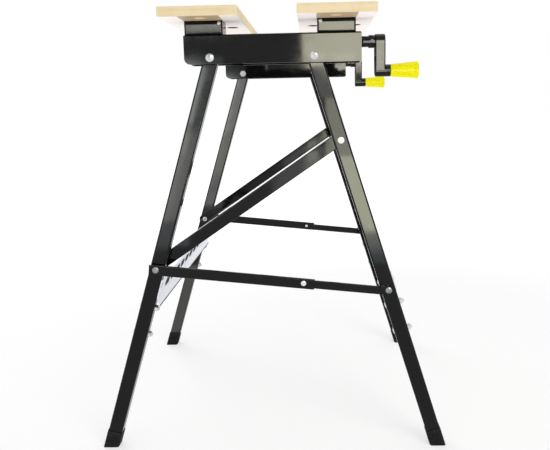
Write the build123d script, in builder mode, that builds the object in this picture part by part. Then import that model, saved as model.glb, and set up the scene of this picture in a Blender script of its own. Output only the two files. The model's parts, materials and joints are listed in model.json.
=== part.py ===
from build123d import *
import math
import os

# Overall layout, in millimetres and degrees
leg_length = 722.5
leg_tilt = 17
pivot_half_span = 85.6
running_clearance = 0.05
hole_clearance = 0.1
end_play = 0.15

# Jaw boards
board_length = 605
board_width = 125
board_thickness = 16
board_edge_round = 1.2
board_overhang = 67.5
jaw_gap = 92.5
closed_jaw_gap = 1
rear_board_edge = 33
dog_hole_diameter = 20
dog_hole_edge = 25.5
dog_pair_inset = 74.5

# Side rails
rail_width = 40
rail_height = 47.5
rail_sheet = 1.5
rail_bend = 2.5
rail_rear_reach = 128
rail_front_reach = 163
rail_rear_corner = 10
rail_front_corner = 3
pivot_to_rail_top = 37
rear_flap_drop = 27

# Jaw brackets
bracket_length = 63
bracket_height = 22.5
bracket_sheet = 1.5
bracket_bend = 3
rear_bracket_setback = 2
front_bracket_setback = 9
slide_clearance = 0.2

# Lead screws, nuts and bushes
screw_diameter = 10
screw_drop = 15
screw_rear_overhang = 1.5
screw_end_chamfer = 1
bush_diameter = 14
bush_flange_diameter = 18
front_bush_flange = 3.6
front_bush_inside = 11
rear_bush_flange = 4
collar_width = 5
nut_length = 24
nut_width = 22
nut_below_axis = 8
nut_above_axis = 10
nut_corner = 2
stud_diameter = 8
stud_head_diameter = 12
stud_head_height = 2.5
slot_clearance = 0.5

# Cranks and grips
hub_neck_diameter = 17.8
hub_neck_length = 9
hub_diameter = 21
hub_length = 10
hub_end_gap = 0.3
arm_thickness = 17
arm_hub_radius = 12
arm_grip_radius = 10
arm_edge_round = 2
arm_recess_depth = 4
arm_recess_wall = 3.5
crank_throw = 47.5
crank_boss_diameter = 20
crank_boss_length = 8.4
screw_grip_depth = 12
crank_pin_diameter = 5
crank_pin_bore = 2.5
grip_length = 46
grip_small_diameter = 20
grip_large_diameter = 28.4
grip_recess_diameter = 16
grip_recess_depth = 6
grip_edge_round = 1.5
spindle_diameter = 8
spindle_head_diameter = 13
spindle_head_height = 3
spindle_root = 12

# Leg tubes and feet
leg_width = 25
leg_depth = 20
leg_wall = 1.5
leg_corner = 3
upper_leg_end = 577
spigot_rise = 19
leg_bolt_drop = 9.5
leg_bolt_pitch = 50
spigot_clearance = 0.2
spigot_wall = 1.2
leg_step = 5
leg_end_gap = 10
foot_width = 27
foot_depth = 23.5
foot_height = 31
foot_corner = 4
foot_rim_round = 1

# Hinge points measured along the legs from their top pivots
rear_brace_along = 373.5
front_brace_along = 146
front_stretcher_along = 418

# Cross bars between the legs
bar_top_along = 392
bar_height = 32.5
bar_lip_drop = 13
bar_lip_reach = 7.6
bar_sheet = 1.5
bar_rivet_inset = 12
bar_end_margin = 1
bar_slot_count = 10
bar_slot_pitch = 42
bar_slot_length = 28
bar_slot_height = 9

# Braces and stretchers
layer_gap = 0.5
brace_width = 22
brace_rise = 2
brace_depth = 14
brace_sheet = 1.5
stretcher_knee = 257
rear_stretcher_drop = 1
rear_stretcher_width = 18
rear_stretcher_depth = 4
stretcher_sheet = 1.2
rear_stretcher_tail = 12.3
rear_stretcher_overlap = 19
front_stretcher_drop = 2
front_stretcher_width = 14
front_stretcher_depth = 3.5
front_stretcher_eye = 15
front_stretcher_pocket = 2
knee_rivet_diameter = 6
knee_head_diameter = 9
knee_head_height = 1.8
knee_tail_height = 0.8

# Fasteners
head_rim_share = 0.35
pivot_bolt_diameter = 8
pivot_head_diameter = 13.6
pivot_head_height = 4.4
pivot_socket_across = 5
pivot_socket_depth = 2.4
pivot_nut_across = 13
pivot_nut_height = 6.5
pivot_bolt_tip = 1.5
spacer_diameter = 14
hinge_bolt_diameter = 6
hinge_head_diameter = 11
hinge_head_height = 3.3
hinge_nut_across = 10
hinge_nut_height = 5
hinge_bolt_tip = 2
hinge_sleeve_diameter = 12
leg_bolt_head_height = 2.2
leg_bolt_tip = 3
rivet_diameter = 5
rivet_head_diameter = 9
rivet_head_height = 2
rivet_offset = 12
board_screw_diameter = 4
board_screw_head = 9
board_screw_head_height = 2.5
board_screw_bite = 11
board_screw_spread = 20
face_rivet_diameter = 6
face_rivet_height = 1.2
face_rivet_root = 1
face_rivet_inset = 5.5
face_rivet_drop = 4.5

# Places worked out from the sizes above
tilt = math.radians(leg_tilt)
pivot_height = leg_length * math.cos(tilt)
side_x = board_length / 2 - board_overhang
rail_top = pivot_height + pivot_to_rail_top
rail_bottom = rail_top - rail_height
rail_half = rail_width / 2
leg_half = leg_depth / 2
board_bottom = rail_top + bracket_height
screw_height = rail_top - screw_drop
grip_height = screw_height - crank_throw
rear_board_y = rear_board_edge + board_width / 2
front_board_y = rear_board_edge - jaw_gap - board_width / 2
rear_bracket_y = rail_rear_reach - rear_bracket_setback - bracket_length / 2
front_bracket_y = -(rail_front_reach - front_bracket_setback - bracket_length / 2)
jaw_travel = jaw_gap - closed_jaw_gap
bush_face = rail_front_reach + front_bush_flange
hub_start = bush_face + hub_end_gap
arm_start = hub_start + hub_neck_length + hub_length
arm_end = arm_start + arm_thickness
boss_end = arm_end + crank_boss_length
grip_start = boss_end + hub_end_gap
pin_forward = hub_start + hub_neck_length + hub_length / 2
screw_front_end = arm_start + screw_grip_depth
bar_fold_along = bar_top_along + bar_height
bar_bottom_along = bar_fold_along + bar_lip_drop
bar_rivet_along = bar_top_along + bar_rivet_inset
leg_bolt_alongs = (bar_bottom_along + leg_bolt_drop, bar_bottom_along + leg_bolt_drop + leg_bolt_pitch)
spigot_start = leg_bolt_alongs[0] - spigot_rise
bar_half_length = side_x + leg_half - bar_end_margin
brace_outer_x = -(side_x - leg_half - layer_gap)
front_stretcher_inner_x = -(side_x + leg_half + 2 * layer_gap)
front_stretcher_outer_x = front_stretcher_inner_x - front_stretcher_depth
rear_stretcher_inner_x = front_stretcher_outer_x - layer_gap
rear_stretcher_outer_x = rear_stretcher_inner_x - rear_stretcher_depth
REAR = 1
FRONT = -1


def leg_direction(end):
    """Unit vector down a leg, leaning to the rear or to the front."""
    return Vector(0, end * math.sin(tilt), -math.cos(tilt))


def leg_point(end, along, x):
    """Point on a leg's centre line at a distance below its top pivot."""
    return Vector(x, end * pivot_half_span, pivot_height) + leg_direction(end) * along


def leg_section_plane(end, along):
    """Plane across a left leg, with its y axis towards the front of the bench."""
    return Plane(leg_point(end, along, -side_x), x_dir=(1, 0, 0), z_dir=leg_direction(end))


def leg_side_plane(end, x):
    """Plane along a leg: x down the leg, y towards the front, normal to the left."""
    return Plane(leg_point(end, 0, x), x_dir=leg_direction(end), z_dir=(-1, 0, 0))


def leg_face_plane(end, x, forward):
    """Plane on a leg's front or rear face, with x down the leg and its normal to the front."""
    side = leg_side_plane(end, x)
    return Plane(side.origin + side.y_dir * forward, x_dir=side.x_dir, z_dir=side.y_dir)


def link_plane(start, finish, x):
    """Plane of a flat link at one side, with x from its first hinge to its second."""
    origin = Vector(x, start.Y, start.Z)
    direction = Vector(0, finish.Y - start.Y, finish.Z - start.Z)
    return Plane(origin, x_dir=direction, z_dir=(-1, 0, 0))


def screw_plane(forward, height=screw_height):
    """Plane across the left lead screw, with its normal to the front."""
    return Plane((-side_x, -forward, height), x_dir=(1, 0, 0), z_dir=(0, -1, 0))


def round_bar(plane, diameter, length, mode=Mode.ADD):
    """Add or cut a plain cylinder that starts on a plane."""
    with BuildSketch(plane) as section:
        Circle(diameter / 2)
    extrude(section.sketch, amount=length, mode=mode)


def hex_socket(plane, across, depth):
    """Cut a hexagonal socket down from a plane."""
    with BuildSketch(plane) as section:
        RegularPolygon(across / 2, 6, major_radius=False)
    extrude(section.sketch, amount=-depth, mode=Mode.SUBTRACT)


def hex_nut(plane, across, bore, height):
    """Add a hexagonal nut that starts on a plane."""
    with BuildSketch(plane) as section:
        RegularPolygon(across / 2, 6, major_radius=False)
        Circle(bore / 2, mode=Mode.SUBTRACT)
    extrude(section.sketch, amount=height)


def dome_head(plane, diameter, height):
    """Add a low domed head: a short rim under a spherical crown."""
    radius = diameter / 2
    rim = height * head_rim_share
    crown = height - rim
    crown_radius = (radius**2 + crown**2) / (2 * crown)
    half_plane = Plane(plane.origin, x_dir=plane.x_dir, z_dir=-plane.y_dir)
    with BuildSketch(half_plane) as half:
        with BuildLine():
            Polyline((0, height), (0, 0), (radius, 0), (radius, rim))
            RadiusArc((radius, rim), (0, height), -crown_radius)
        make_face()
    revolve(half.sketch, axis=Axis(plane.origin, plane.z_dir))


def save(part, name):
    """Label one sub-part and write it to its own file."""
    part.label = name
    export_step(part, f"parts/{name}.step")


def save_pair(part, name):
    """Write a left sub-part and its mirror image on the right."""
    with BuildPart() as right:
        mirror(part, about=Plane.YZ)
    save(part, f"{name}_left")
    save(right.part, f"{name}_right")


# Hinge points of the folding leg frame
rear_pivot = leg_point(REAR, 0, 0)
front_pivot = leg_point(FRONT, 0, 0)
brace_low = leg_point(REAR, rear_brace_along, 0)
brace_high = leg_point(FRONT, front_brace_along, 0)
stretcher_front_point = leg_point(FRONT, front_stretcher_along, 0)
brace_span = (brace_high - brace_low).length
stretcher_span = (stretcher_front_point - brace_low).length
stretcher_direction = (stretcher_front_point - brace_low) * (1 / stretcher_span)
knee_point = brace_low + stretcher_direction * stretcher_knee
knee_span = stretcher_span - stretcher_knee


def board_screw_places(bracket_y):
    """Three board screws in line along a bracket."""
    return [(-side_x, bracket_y + step * board_screw_spread) for step in (-1, 0, 1)]


def dog_hole_places(centre_y):
    """Dog holes of one board: one near each end, and a pair inside each rail."""
    end_x = board_length / 2 - dog_hole_edge
    pair_x = side_x - dog_pair_inset
    row = board_width / 2 - dog_hole_edge
    pairs = [(across * pair_x, centre_y + side * row) for across in (-1, 1) for side in (-1, 1)]
    return [(-end_x, centre_y), (end_x, centre_y), *pairs]


def make_board(centre_y, bracket_y):
    """Wooden jaw board with eased edges, dog holes and pilot holes for its screws."""
    with BuildPart() as board:
        with BuildSketch(Plane.XY.offset(board_bottom)):
            with Locations((0, centre_y)):
                Rectangle(board_length, board_width)
        extrude(amount=board_thickness)
        fillet(board.edges(), board_edge_round)
        with BuildSketch(Plane.XY.offset(board_bottom)):
            with Locations(dog_hole_places(centre_y)):
                Circle(dog_hole_diameter / 2)
        extrude(amount=board_thickness, mode=Mode.SUBTRACT)
        with BuildSketch(Plane.XY.offset(board_bottom)):
            for place_x, place_y in board_screw_places(bracket_y):
                with Locations((place_x, place_y), (-place_x, place_y)):
                    Circle(board_screw_diameter / 2 + hole_clearance)
        extrude(amount=board_screw_bite + hole_clearance, mode=Mode.SUBTRACT)
    return board.part


def make_board_screws(bracket_y):
    """Wood screws driven up through both brackets into one board."""
    flange_bottom = board_bottom - bracket_sheet
    with BuildPart() as screws:
        with BuildSketch(Plane.XY.offset(flange_bottom - board_screw_head_height)):
            with Locations(board_screw_places(bracket_y)):
                Circle(board_screw_head / 2)
        extrude(amount=board_screw_head_height)
        with BuildSketch(Plane.XY.offset(flange_bottom)):
            with Locations(board_screw_places(bracket_y)):
                Circle(board_screw_diameter / 2)
        extrude(amount=bracket_sheet + board_screw_bite)
        mirror(about=Plane.YZ)
    return screws.part


def bracket_rivet_places():
    """Four rivets that hold a front bracket down on its rail."""
    return [
        (-side_x + across * rivet_offset, front_bracket_y + length * rivet_offset)
        for across in (-1, 1)
        for length in (-1, 1)
    ]


def make_rail():
    """Left rail: an inverted folded channel with end flaps, slotted along its top."""
    with BuildPart() as rail:
        with BuildSketch(Plane.YZ.offset(-side_x)) as outline:
            with BuildLine():
                Polyline(
                    (-rail_front_reach, rail_bottom),
                    (rail_rear_reach, rail_bottom),
                    (rail_rear_reach, rail_top),
                    (-rail_front_reach, rail_top),
                    close=True,
                )
            make_face()
            low_corners = outline.vertices().group_by(Axis.Y)[0].sort_by(Axis.X)
            fillet(low_corners[-1], rail_rear_corner)
            fillet(low_corners[0], rail_front_corner)
        extrude(amount=rail_half, both=True)
        top_face = rail.faces().sort_by(Axis.Z)[-1]
        fillet(top_face.edges(), rail_bend)
        inner_length = rail_rear_reach + rail_front_reach - 2 * rail_sheet
        inner_middle = (rail_rear_reach - rail_front_reach) / 2
        with BuildSketch(Plane.XY.offset(rail_top - rail_sheet)):
            with Locations((-side_x, inner_middle)):
                Rectangle(rail_width - 2 * rail_sheet, inner_length)
        extrude(amount=-rail_height, mode=Mode.SUBTRACT)
        with BuildSketch(Plane.XY.offset(rail_top - rear_flap_drop)):
            with Locations((-side_x, rail_rear_reach)):
                Rectangle(rail_width - 2 * rail_sheet, 4 * rail_sheet)
        extrude(amount=-rail_height, mode=Mode.SUBTRACT)
        with BuildSketch(Plane.XY.offset(rail_top)):
            with Locations(Location((-side_x, rear_bracket_y - jaw_travel / 2), 90)):
                SlotCenterToCenter(jaw_travel + 2 * slot_clearance, stud_diameter + 2 * slot_clearance)
        extrude(amount=-2 * rail_sheet, mode=Mode.SUBTRACT)
        with BuildSketch(Plane.XY.offset(rail_top)):
            with Locations(bracket_rivet_places()):
                Circle(rivet_diameter / 2 + hole_clearance)
        extrude(amount=-2 * rail_sheet, mode=Mode.SUBTRACT)
        with BuildSketch(Plane.YZ.offset(-side_x)):
            with Locations((rear_pivot.Y, rear_pivot.Z), (front_pivot.Y, front_pivot.Z)):
                Circle(pivot_bolt_diameter / 2 + hole_clearance)
        extrude(amount=rail_width, both=True, mode=Mode.SUBTRACT)
        with BuildSketch(screw_plane(0)):
            Circle(bush_diameter / 2 + hole_clearance)
        extrude(amount=rail_front_reach + rail_rear_reach, both=True, mode=Mode.SUBTRACT)
    return rail.part


def make_bracket(centre_y, base, height, fixing_places, fixing_diameter):
    """Pressed jaw bracket: a shallow box, open towards the middle of the bench."""
    inner_end = 1 if centre_y < 0 else -1
    with BuildPart() as bracket:
        with BuildSketch(Plane.XY.offset(base)):
            with Locations((-side_x, centre_y)):
                Rectangle(rail_width, bracket_length)
        extrude(amount=height)
        outer_face = bracket.faces().sort_by(Axis.X)[0]
        fillet(outer_face.edges(), bracket_bend)
        with BuildSketch(Plane.XY.offset(base + bracket_sheet)):
            with Locations((-side_x + bracket_sheet, centre_y)):
                Rectangle(rail_width, bracket_length - 2 * bracket_sheet)
        extrude(amount=height - 2 * bracket_sheet, mode=Mode.SUBTRACT)
        with BuildSketch(Plane.XY.offset(base)):
            with Locations(fixing_places):
                Circle(fixing_diameter / 2 + hole_clearance)
        extrude(amount=bracket_sheet, mode=Mode.SUBTRACT)
        with BuildSketch(Plane.XY.offset(base + height)):
            with Locations(board_screw_places(centre_y)):
                Circle(board_screw_diameter / 2 + hole_clearance)
        extrude(amount=-bracket_sheet, mode=Mode.SUBTRACT)
        rivet_y = centre_y + inner_end * (bracket_length / 2 - face_rivet_inset)
        rivet_plane = Plane(
            (-side_x - rail_half + face_rivet_root, rivet_y, base + height - face_rivet_drop),
            x_dir=(0, 1, 0),
            z_dir=(-1, 0, 0),
        )
        dome_head(rivet_plane, face_rivet_diameter, face_rivet_root + face_rivet_height)
    return bracket.part


def make_bracket_rivets():
    """Rivets through the front brackets and the rail tops, headed on both sides."""
    flange_top = rail_top + bracket_sheet
    with BuildPart() as rivets:
        with BuildSketch(Plane.XY.offset(rail_top - rail_sheet)):
            with Locations(bracket_rivet_places()):
                Circle(rivet_diameter / 2)
        extrude(amount=rail_sheet + bracket_sheet)
        with BuildSketch(Plane.XY.offset(flange_top)):
            with Locations(bracket_rivet_places()):
                Circle(rivet_head_diameter / 2)
        extrude(amount=rivet_head_height)
        with BuildSketch(Plane.XY.offset(rail_top - rail_sheet)):
            with Locations(bracket_rivet_places()):
                Circle(rivet_head_diameter / 2)
        extrude(amount=-rivet_head_height)
        mirror(about=Plane.YZ)
    return rivets.part


def make_screw_nut():
    """Nut block on the lead screw, with a stud up through the rail slot to the rear bracket."""
    with BuildPart() as nut:
        with BuildSketch(screw_plane(-rear_bracket_y - nut_length / 2)):
            with Locations((0, (nut_above_axis - nut_below_axis) / 2)):
                RectangleRounded(nut_width, nut_above_axis + nut_below_axis, nut_corner)
            Circle(screw_diameter / 2 + running_clearance, mode=Mode.SUBTRACT)
        extrude(amount=nut_length)
        flange_top = rail_top + slide_clearance + bracket_sheet
        nut_top = screw_height + nut_above_axis
        with BuildSketch(Plane.XY.offset(nut_top)):
            with Locations((-side_x, rear_bracket_y)):
                Circle(stud_diameter / 2)
        extrude(amount=flange_top - nut_top)
        with BuildSketch(Plane.XY.offset(flange_top)):
            with Locations((-side_x, rear_bracket_y)):
                Circle(stud_head_diameter / 2)
        extrude(amount=stud_head_height)
    return nut.part


def make_lead_screw():
    """Lead screw from the rear flap of the rail to the crank hub, drilled for the hub pin."""
    with BuildPart() as screw:
        start = -(rail_rear_reach + screw_rear_overhang)
        round_bar(screw_plane(start), screw_diameter, screw_front_end - start)
        chamfer(screw.faces().sort_by(Axis.Y)[-1].edges(), screw_end_chamfer)
        pin_plane = Plane((-side_x, -pin_forward, screw_height), x_dir=(0, 1, 0), z_dir=(1, 0, 0))
        with BuildSketch(pin_plane):
            Circle(crank_pin_diameter / 2 + hole_clearance)
        extrude(amount=hub_diameter, both=True, mode=Mode.SUBTRACT)
    return screw.part


def make_bushes():
    """Flanged bushes that carry the lead screws in the end flaps of the rails."""
    rear_face = -(rail_rear_reach - rail_sheet)
    bore = screw_diameter + 2 * running_clearance
    with BuildPart() as bushes:
        round_bar(screw_plane(rail_front_reach), bush_flange_diameter, front_bush_flange)
        round_bar(screw_plane(rail_front_reach), bush_diameter, -front_bush_inside)
        round_bar(screw_plane(rear_face), bush_flange_diameter, rear_bush_flange)
        round_bar(screw_plane(rear_face), bush_diameter, -rail_sheet)
        round_bar(screw_plane(-rail_rear_reach), bore, rail_rear_reach + bush_face, Mode.SUBTRACT)
        mirror(about=Plane.YZ)
    return bushes.part


def make_screw_collar():
    """Collar pinned to the lead screw behind its front bush, which takes the pull of the jaw."""
    face = rail_front_reach - front_bush_inside - hub_end_gap
    with BuildPart() as collar:
        with BuildSketch(screw_plane(face)):
            Circle(bush_flange_diameter / 2)
            Circle(screw_diameter / 2 + running_clearance, mode=Mode.SUBTRACT)
        extrude(amount=-collar_width)
    return collar.part


def make_crank():
    """Moulded crank: neck, hub, arm and grip boss, with bores for the screw, pin and spindle."""
    with BuildPart() as crank:
        with BuildSketch(screw_plane(arm_start)):
            Circle(arm_hub_radius)
            with Locations((0, -crank_throw)):
                Circle(arm_grip_radius)
            make_hull()
        extrude(amount=arm_thickness)
        fillet(crank.edges(), arm_edge_round)
        with BuildSketch(screw_plane(arm_end)):
            with Locations((0, -crank_throw / 2 + arm_recess_wall)):
                SlotCenterToCenter(crank_throw / 2, 2 * (arm_grip_radius - arm_recess_wall), rotation=90)
        extrude(amount=-arm_recess_depth, mode=Mode.SUBTRACT)
        round_bar(screw_plane(hub_start), hub_neck_diameter, hub_neck_length)
        round_bar(screw_plane(hub_start + hub_neck_length), hub_diameter, hub_length)
        round_bar(screw_plane(arm_end - arm_edge_round, grip_height), crank_boss_diameter,
                  crank_boss_length + arm_edge_round)
        round_bar(screw_plane(hub_start), screw_diameter + 2 * running_clearance,
                  screw_front_end - hub_start + hole_clearance, Mode.SUBTRACT)
        round_bar(screw_plane(boss_end, grip_height), spindle_diameter + 2 * running_clearance,
                  -(spindle_root + crank_boss_length), Mode.SUBTRACT)
        pin_plane = Plane((-side_x, -pin_forward, screw_height), x_dir=(0, 1, 0), z_dir=(1, 0, 0))
        with BuildSketch(pin_plane):
            Circle(crank_pin_diameter / 2 + hole_clearance)
        extrude(amount=hub_diameter, both=True, mode=Mode.SUBTRACT)
    return crank.part


def make_crank_pin():
    """Hollow spring pin across the crank hub and the lead screw."""
    with BuildPart() as pin:
        with BuildSketch(Plane.YZ.offset(-side_x)):
            with Locations((-pin_forward, screw_height)):
                Circle(crank_pin_diameter / 2)
                Circle(crank_pin_bore / 2, mode=Mode.SUBTRACT)
        extrude(amount=hub_diameter / 2, both=True)
    return pin.part


def make_spindle():
    """Steel spindle set in the crank boss, with a head in the grip's end recess."""
    head_start = grip_start + grip_length - grip_recess_depth + hub_end_gap
    with BuildPart() as spindle:
        start = boss_end - crank_boss_length - spindle_root
        round_bar(screw_plane(start, grip_height), spindle_diameter, head_start - start)
        dome_head(screw_plane(head_start, grip_height), spindle_head_diameter, spindle_head_height)
    return spindle.part


def make_grip():
    """Conical grip that turns freely on its spindle."""
    bore = spindle_diameter / 2 + running_clearance
    grip_end = grip_start + grip_length
    recess_start = grip_end - grip_recess_depth
    with BuildPart() as grip:
        with BuildSketch(Plane.YZ.offset(-side_x)):
            with BuildLine():
                Polyline(
                    (-grip_start, grip_height + bore),
                    (-grip_start, grip_height + grip_small_diameter / 2),
                    (-grip_end, grip_height + grip_large_diameter / 2),
                    (-grip_end, grip_height + grip_recess_diameter / 2),
                    (-recess_start, grip_height + grip_recess_diameter / 2),
                    (-recess_start, grip_height + bore),
                    close=True,
                )
            make_face()
        revolve(axis=Axis((-side_x, 0, grip_height), (0, 1, 0)))
        end_face = grip.faces().sort_by(Axis.Y)[0]
        fillet(end_face.outer_wire().edges(), grip_edge_round)
    return grip.part


def make_upper_leg(end, hinge_alongs):
    """Upper leg tube, rounded at its pivot, drilled for its hinges and its joint bolts."""
    with BuildPart() as leg:
        with BuildSketch(leg_section_plane(end, -leg_width / 2)):
            RectangleRounded(leg_depth, leg_width, leg_corner)
            RectangleRounded(leg_depth - 2 * leg_wall, leg_width - 2 * leg_wall, leg_corner - leg_wall,
                             mode=Mode.SUBTRACT)
        extrude(amount=upper_leg_end + leg_width / 2)
        side = leg_side_plane(end, -side_x)
        with BuildSketch(side):
            with Locations((upper_leg_end / 2, 0)):
                Rectangle(upper_leg_end, 2 * leg_width)
            Circle(leg_width / 2)
        extrude(amount=leg_depth, both=True, mode=Mode.INTERSECT)
        with BuildSketch(side):
            Circle(pivot_bolt_diameter / 2 + running_clearance)
            for along in hinge_alongs:
                with Locations((along, 0)):
                    Circle(hinge_bolt_diameter / 2 + hole_clearance)
        extrude(amount=leg_depth, both=True, mode=Mode.SUBTRACT)
        with BuildSketch(leg_face_plane(end, -side_x, 0)):
            for along in leg_bolt_alongs:
                with Locations((along, 0)):
                    Circle(hinge_bolt_diameter / 2 + hole_clearance)
            with Locations((bar_rivet_along, 0)):
                Circle(rivet_diameter / 2 + hole_clearance)
        extrude(amount=leg_width, both=True, mode=Mode.SUBTRACT)
    return leg.part


def make_lower_leg(end):
    """Lower leg tube with a reduced spigot that slides up inside the upper leg."""
    spigot_depth = leg_depth - 2 * leg_wall - 2 * spigot_clearance
    spigot_width = leg_width - 2 * leg_wall - 2 * spigot_clearance
    spigot_corner = leg_corner - leg_wall
    lower_end = leg_length - leg_end_gap
    with BuildPart() as leg:
        with BuildSketch(leg_section_plane(end, upper_leg_end)):
            RectangleRounded(leg_depth, leg_width, leg_corner)
        extrude(amount=lower_end - upper_leg_end)
        with BuildSketch(leg_section_plane(end, spigot_start)):
            RectangleRounded(spigot_depth, spigot_width, spigot_corner)
        extrude(amount=upper_leg_end - spigot_start)
        with BuildSketch(leg_section_plane(end, upper_leg_end + leg_step)):
            RectangleRounded(leg_depth - 2 * leg_wall, leg_width - 2 * leg_wall, spigot_corner)
        extrude(amount=leg_length, mode=Mode.SUBTRACT)
        with BuildSketch(leg_section_plane(end, spigot_start)):
            Rectangle(spigot_depth - 2 * spigot_wall, spigot_width - 2 * spigot_wall)
        extrude(amount=leg_length, mode=Mode.SUBTRACT)
        with BuildSketch(leg_face_plane(end, -side_x, 0)):
            for along in leg_bolt_alongs:
                with Locations((along, 0)):
                    Circle(hinge_bolt_diameter / 2 + hole_clearance)
        extrude(amount=leg_width, both=True, mode=Mode.SUBTRACT)
    return leg.part


def make_foot(end):
    """Moulded foot cap, cut level with the floor and socketed for the leg."""
    with BuildPart() as foot:
        with BuildSketch(leg_section_plane(end, leg_length - foot_height)):
            RectangleRounded(foot_depth, foot_width, foot_corner)
        extrude(amount=foot_height + foot_width)
        split(bisect_by=Plane.XY, keep=Keep.TOP)
        top_face = foot.faces().sort_by(Axis((0, 0, 0), leg_direction(end)))[0]
        fillet(top_face.outer_wire().edges(), foot_rim_round)
        with BuildSketch(leg_section_plane(end, leg_length - foot_height)):
            RectangleRounded(leg_depth + 2 * hole_clearance, leg_width + 2 * hole_clearance, leg_corner)
        extrude(amount=foot_height - leg_end_gap, mode=Mode.SUBTRACT)
    return foot.part


def make_cross_bar(end):
    """Slotted strip riveted to the front faces of two legs, with a slanted lower lip on the rear one."""
    seat = leg_width / 2
    face = seat + bar_sheet
    lip_angle = math.atan2(bar_lip_reach, bar_lip_drop)
    fold_back = bar_fold_along + bar_sheet * math.tan(lip_angle / 2)
    lip_edge = face + bar_lip_reach
    lip_back = lip_edge - bar_sheet * math.cos(lip_angle)
    lip_end = bar_bottom_along + bar_sheet * math.sin(lip_angle)
    strip = [(bar_top_along, seat), (bar_top_along, face), (bar_fold_along, face)]
    plain_edge = [(bar_fold_along, seat)]
    lip = [(bar_bottom_along, lip_edge), (lip_end, lip_back), (fold_back, seat)]
    with BuildPart() as bar:
        with BuildSketch(leg_side_plane(end, 0)):
            with BuildLine():
                Polyline(*strip, *(lip if end == REAR else plain_edge), close=True)
            make_face()
        extrude(amount=bar_half_length, both=True)
        with BuildSketch(leg_face_plane(end, 0, seat)):
            with Locations(((bar_top_along + bar_fold_along) / 2, 0)):
                with GridLocations(0, bar_slot_pitch, 1, bar_slot_count):
                    SlotOverall(bar_slot_length, bar_slot_height, rotation=90)
            with Locations((bar_rivet_along, side_x), (bar_rivet_along, -side_x)):
                Circle(rivet_diameter / 2 + hole_clearance)
        extrude(amount=bar_sheet, mode=Mode.SUBTRACT)
    return bar.part


def leg_bolt_plane(end, along, forward):
    """Plane across a left leg bolt, with its normal to the front."""
    face = leg_face_plane(end, -side_x, forward)
    return Plane(face.origin + face.x_dir * along, x_dir=face.x_dir, z_dir=face.z_dir)


def facing_rear(plane):
    """The same plane with its normal turned to the rear."""
    return Plane(plane.origin, x_dir=plane.x_dir, z_dir=-plane.z_dir)


def make_leg_bolts(end):
    """Bolts that join upper and lower legs, headed at the rear, and the rivets of the cross bar."""
    with BuildPart() as bolts:
        for along in leg_bolt_alongs:
            head = leg_bolt_plane(end, along, -leg_width / 2)
            round_bar(head, hinge_bolt_diameter, leg_width + hinge_nut_height + leg_bolt_tip)
            dome_head(facing_rear(head), hinge_head_diameter, leg_bolt_head_height)
        rivet_rear = leg_bolt_plane(end, bar_rivet_along, -leg_width / 2)
        rivet_front = leg_bolt_plane(end, bar_rivet_along, leg_width / 2 + bar_sheet)
        round_bar(rivet_rear, rivet_diameter, leg_width + bar_sheet)
        dome_head(facing_rear(rivet_rear), rivet_head_diameter, rivet_head_height)
        dome_head(rivet_front, rivet_head_diameter, rivet_head_height)
        mirror(about=Plane.YZ)
    return bolts.part


def make_leg_nuts(end):
    """Nuts on the front ends of the leg bolts."""
    with BuildPart() as nuts:
        for along in leg_bolt_alongs:
            hex_nut(leg_bolt_plane(end, along, leg_width / 2), hinge_nut_across,
                    hinge_bolt_diameter + 2 * running_clearance, hinge_nut_height)
        mirror(about=Plane.YZ)
    return nuts.part


def pivot_plane(pivot, outward):
    """Plane across a top pivot at a distance outward from the rail's middle."""
    return Plane((-side_x - outward, pivot.Y, pivot.Z), x_dir=(0, 1, 0), z_dir=(-1, 0, 0))


def make_pivot_bolts():
    """Button-head bolts through the rails on which the legs turn, with hexagonal sockets."""
    tip = rail_half + pivot_nut_height + pivot_bolt_tip
    with BuildPart() as bolts:
        for pivot in (rear_pivot, front_pivot):
            round_bar(pivot_plane(pivot, -tip), pivot_bolt_diameter, tip + rail_half)
            dome_head(pivot_plane(pivot, rail_half), pivot_head_diameter, pivot_head_height)
            hex_socket(pivot_plane(pivot, rail_half + pivot_head_height), pivot_socket_across,
                       pivot_socket_depth)
        mirror(about=Plane.YZ)
    return bolts.part


def make_pivot_nuts():
    """Nuts on the inner ends of the pivot bolts."""
    with BuildPart() as nuts:
        for pivot in (rear_pivot, front_pivot):
            hex_nut(pivot_plane(pivot, -rail_half - pivot_nut_height), pivot_nut_across,
                    pivot_bolt_diameter + 2 * running_clearance, pivot_nut_height)
        mirror(about=Plane.YZ)
    return nuts.part


def make_pivot_spacers():
    """Tube spacers that centre the legs inside the rails."""
    length = rail_half - rail_sheet - leg_half - end_play
    with BuildPart() as spacers:
        for pivot in (rear_pivot, front_pivot):
            for start in (leg_half + end_play, -(rail_half - rail_sheet)):
                with BuildSketch(pivot_plane(pivot, start)) as ring:
                    Circle(spacer_diameter / 2)
                    Circle(pivot_bolt_diameter / 2 + running_clearance, mode=Mode.SUBTRACT)
                extrude(ring.sketch, amount=length)
        mirror(about=Plane.YZ)
    return spacers.part


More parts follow.
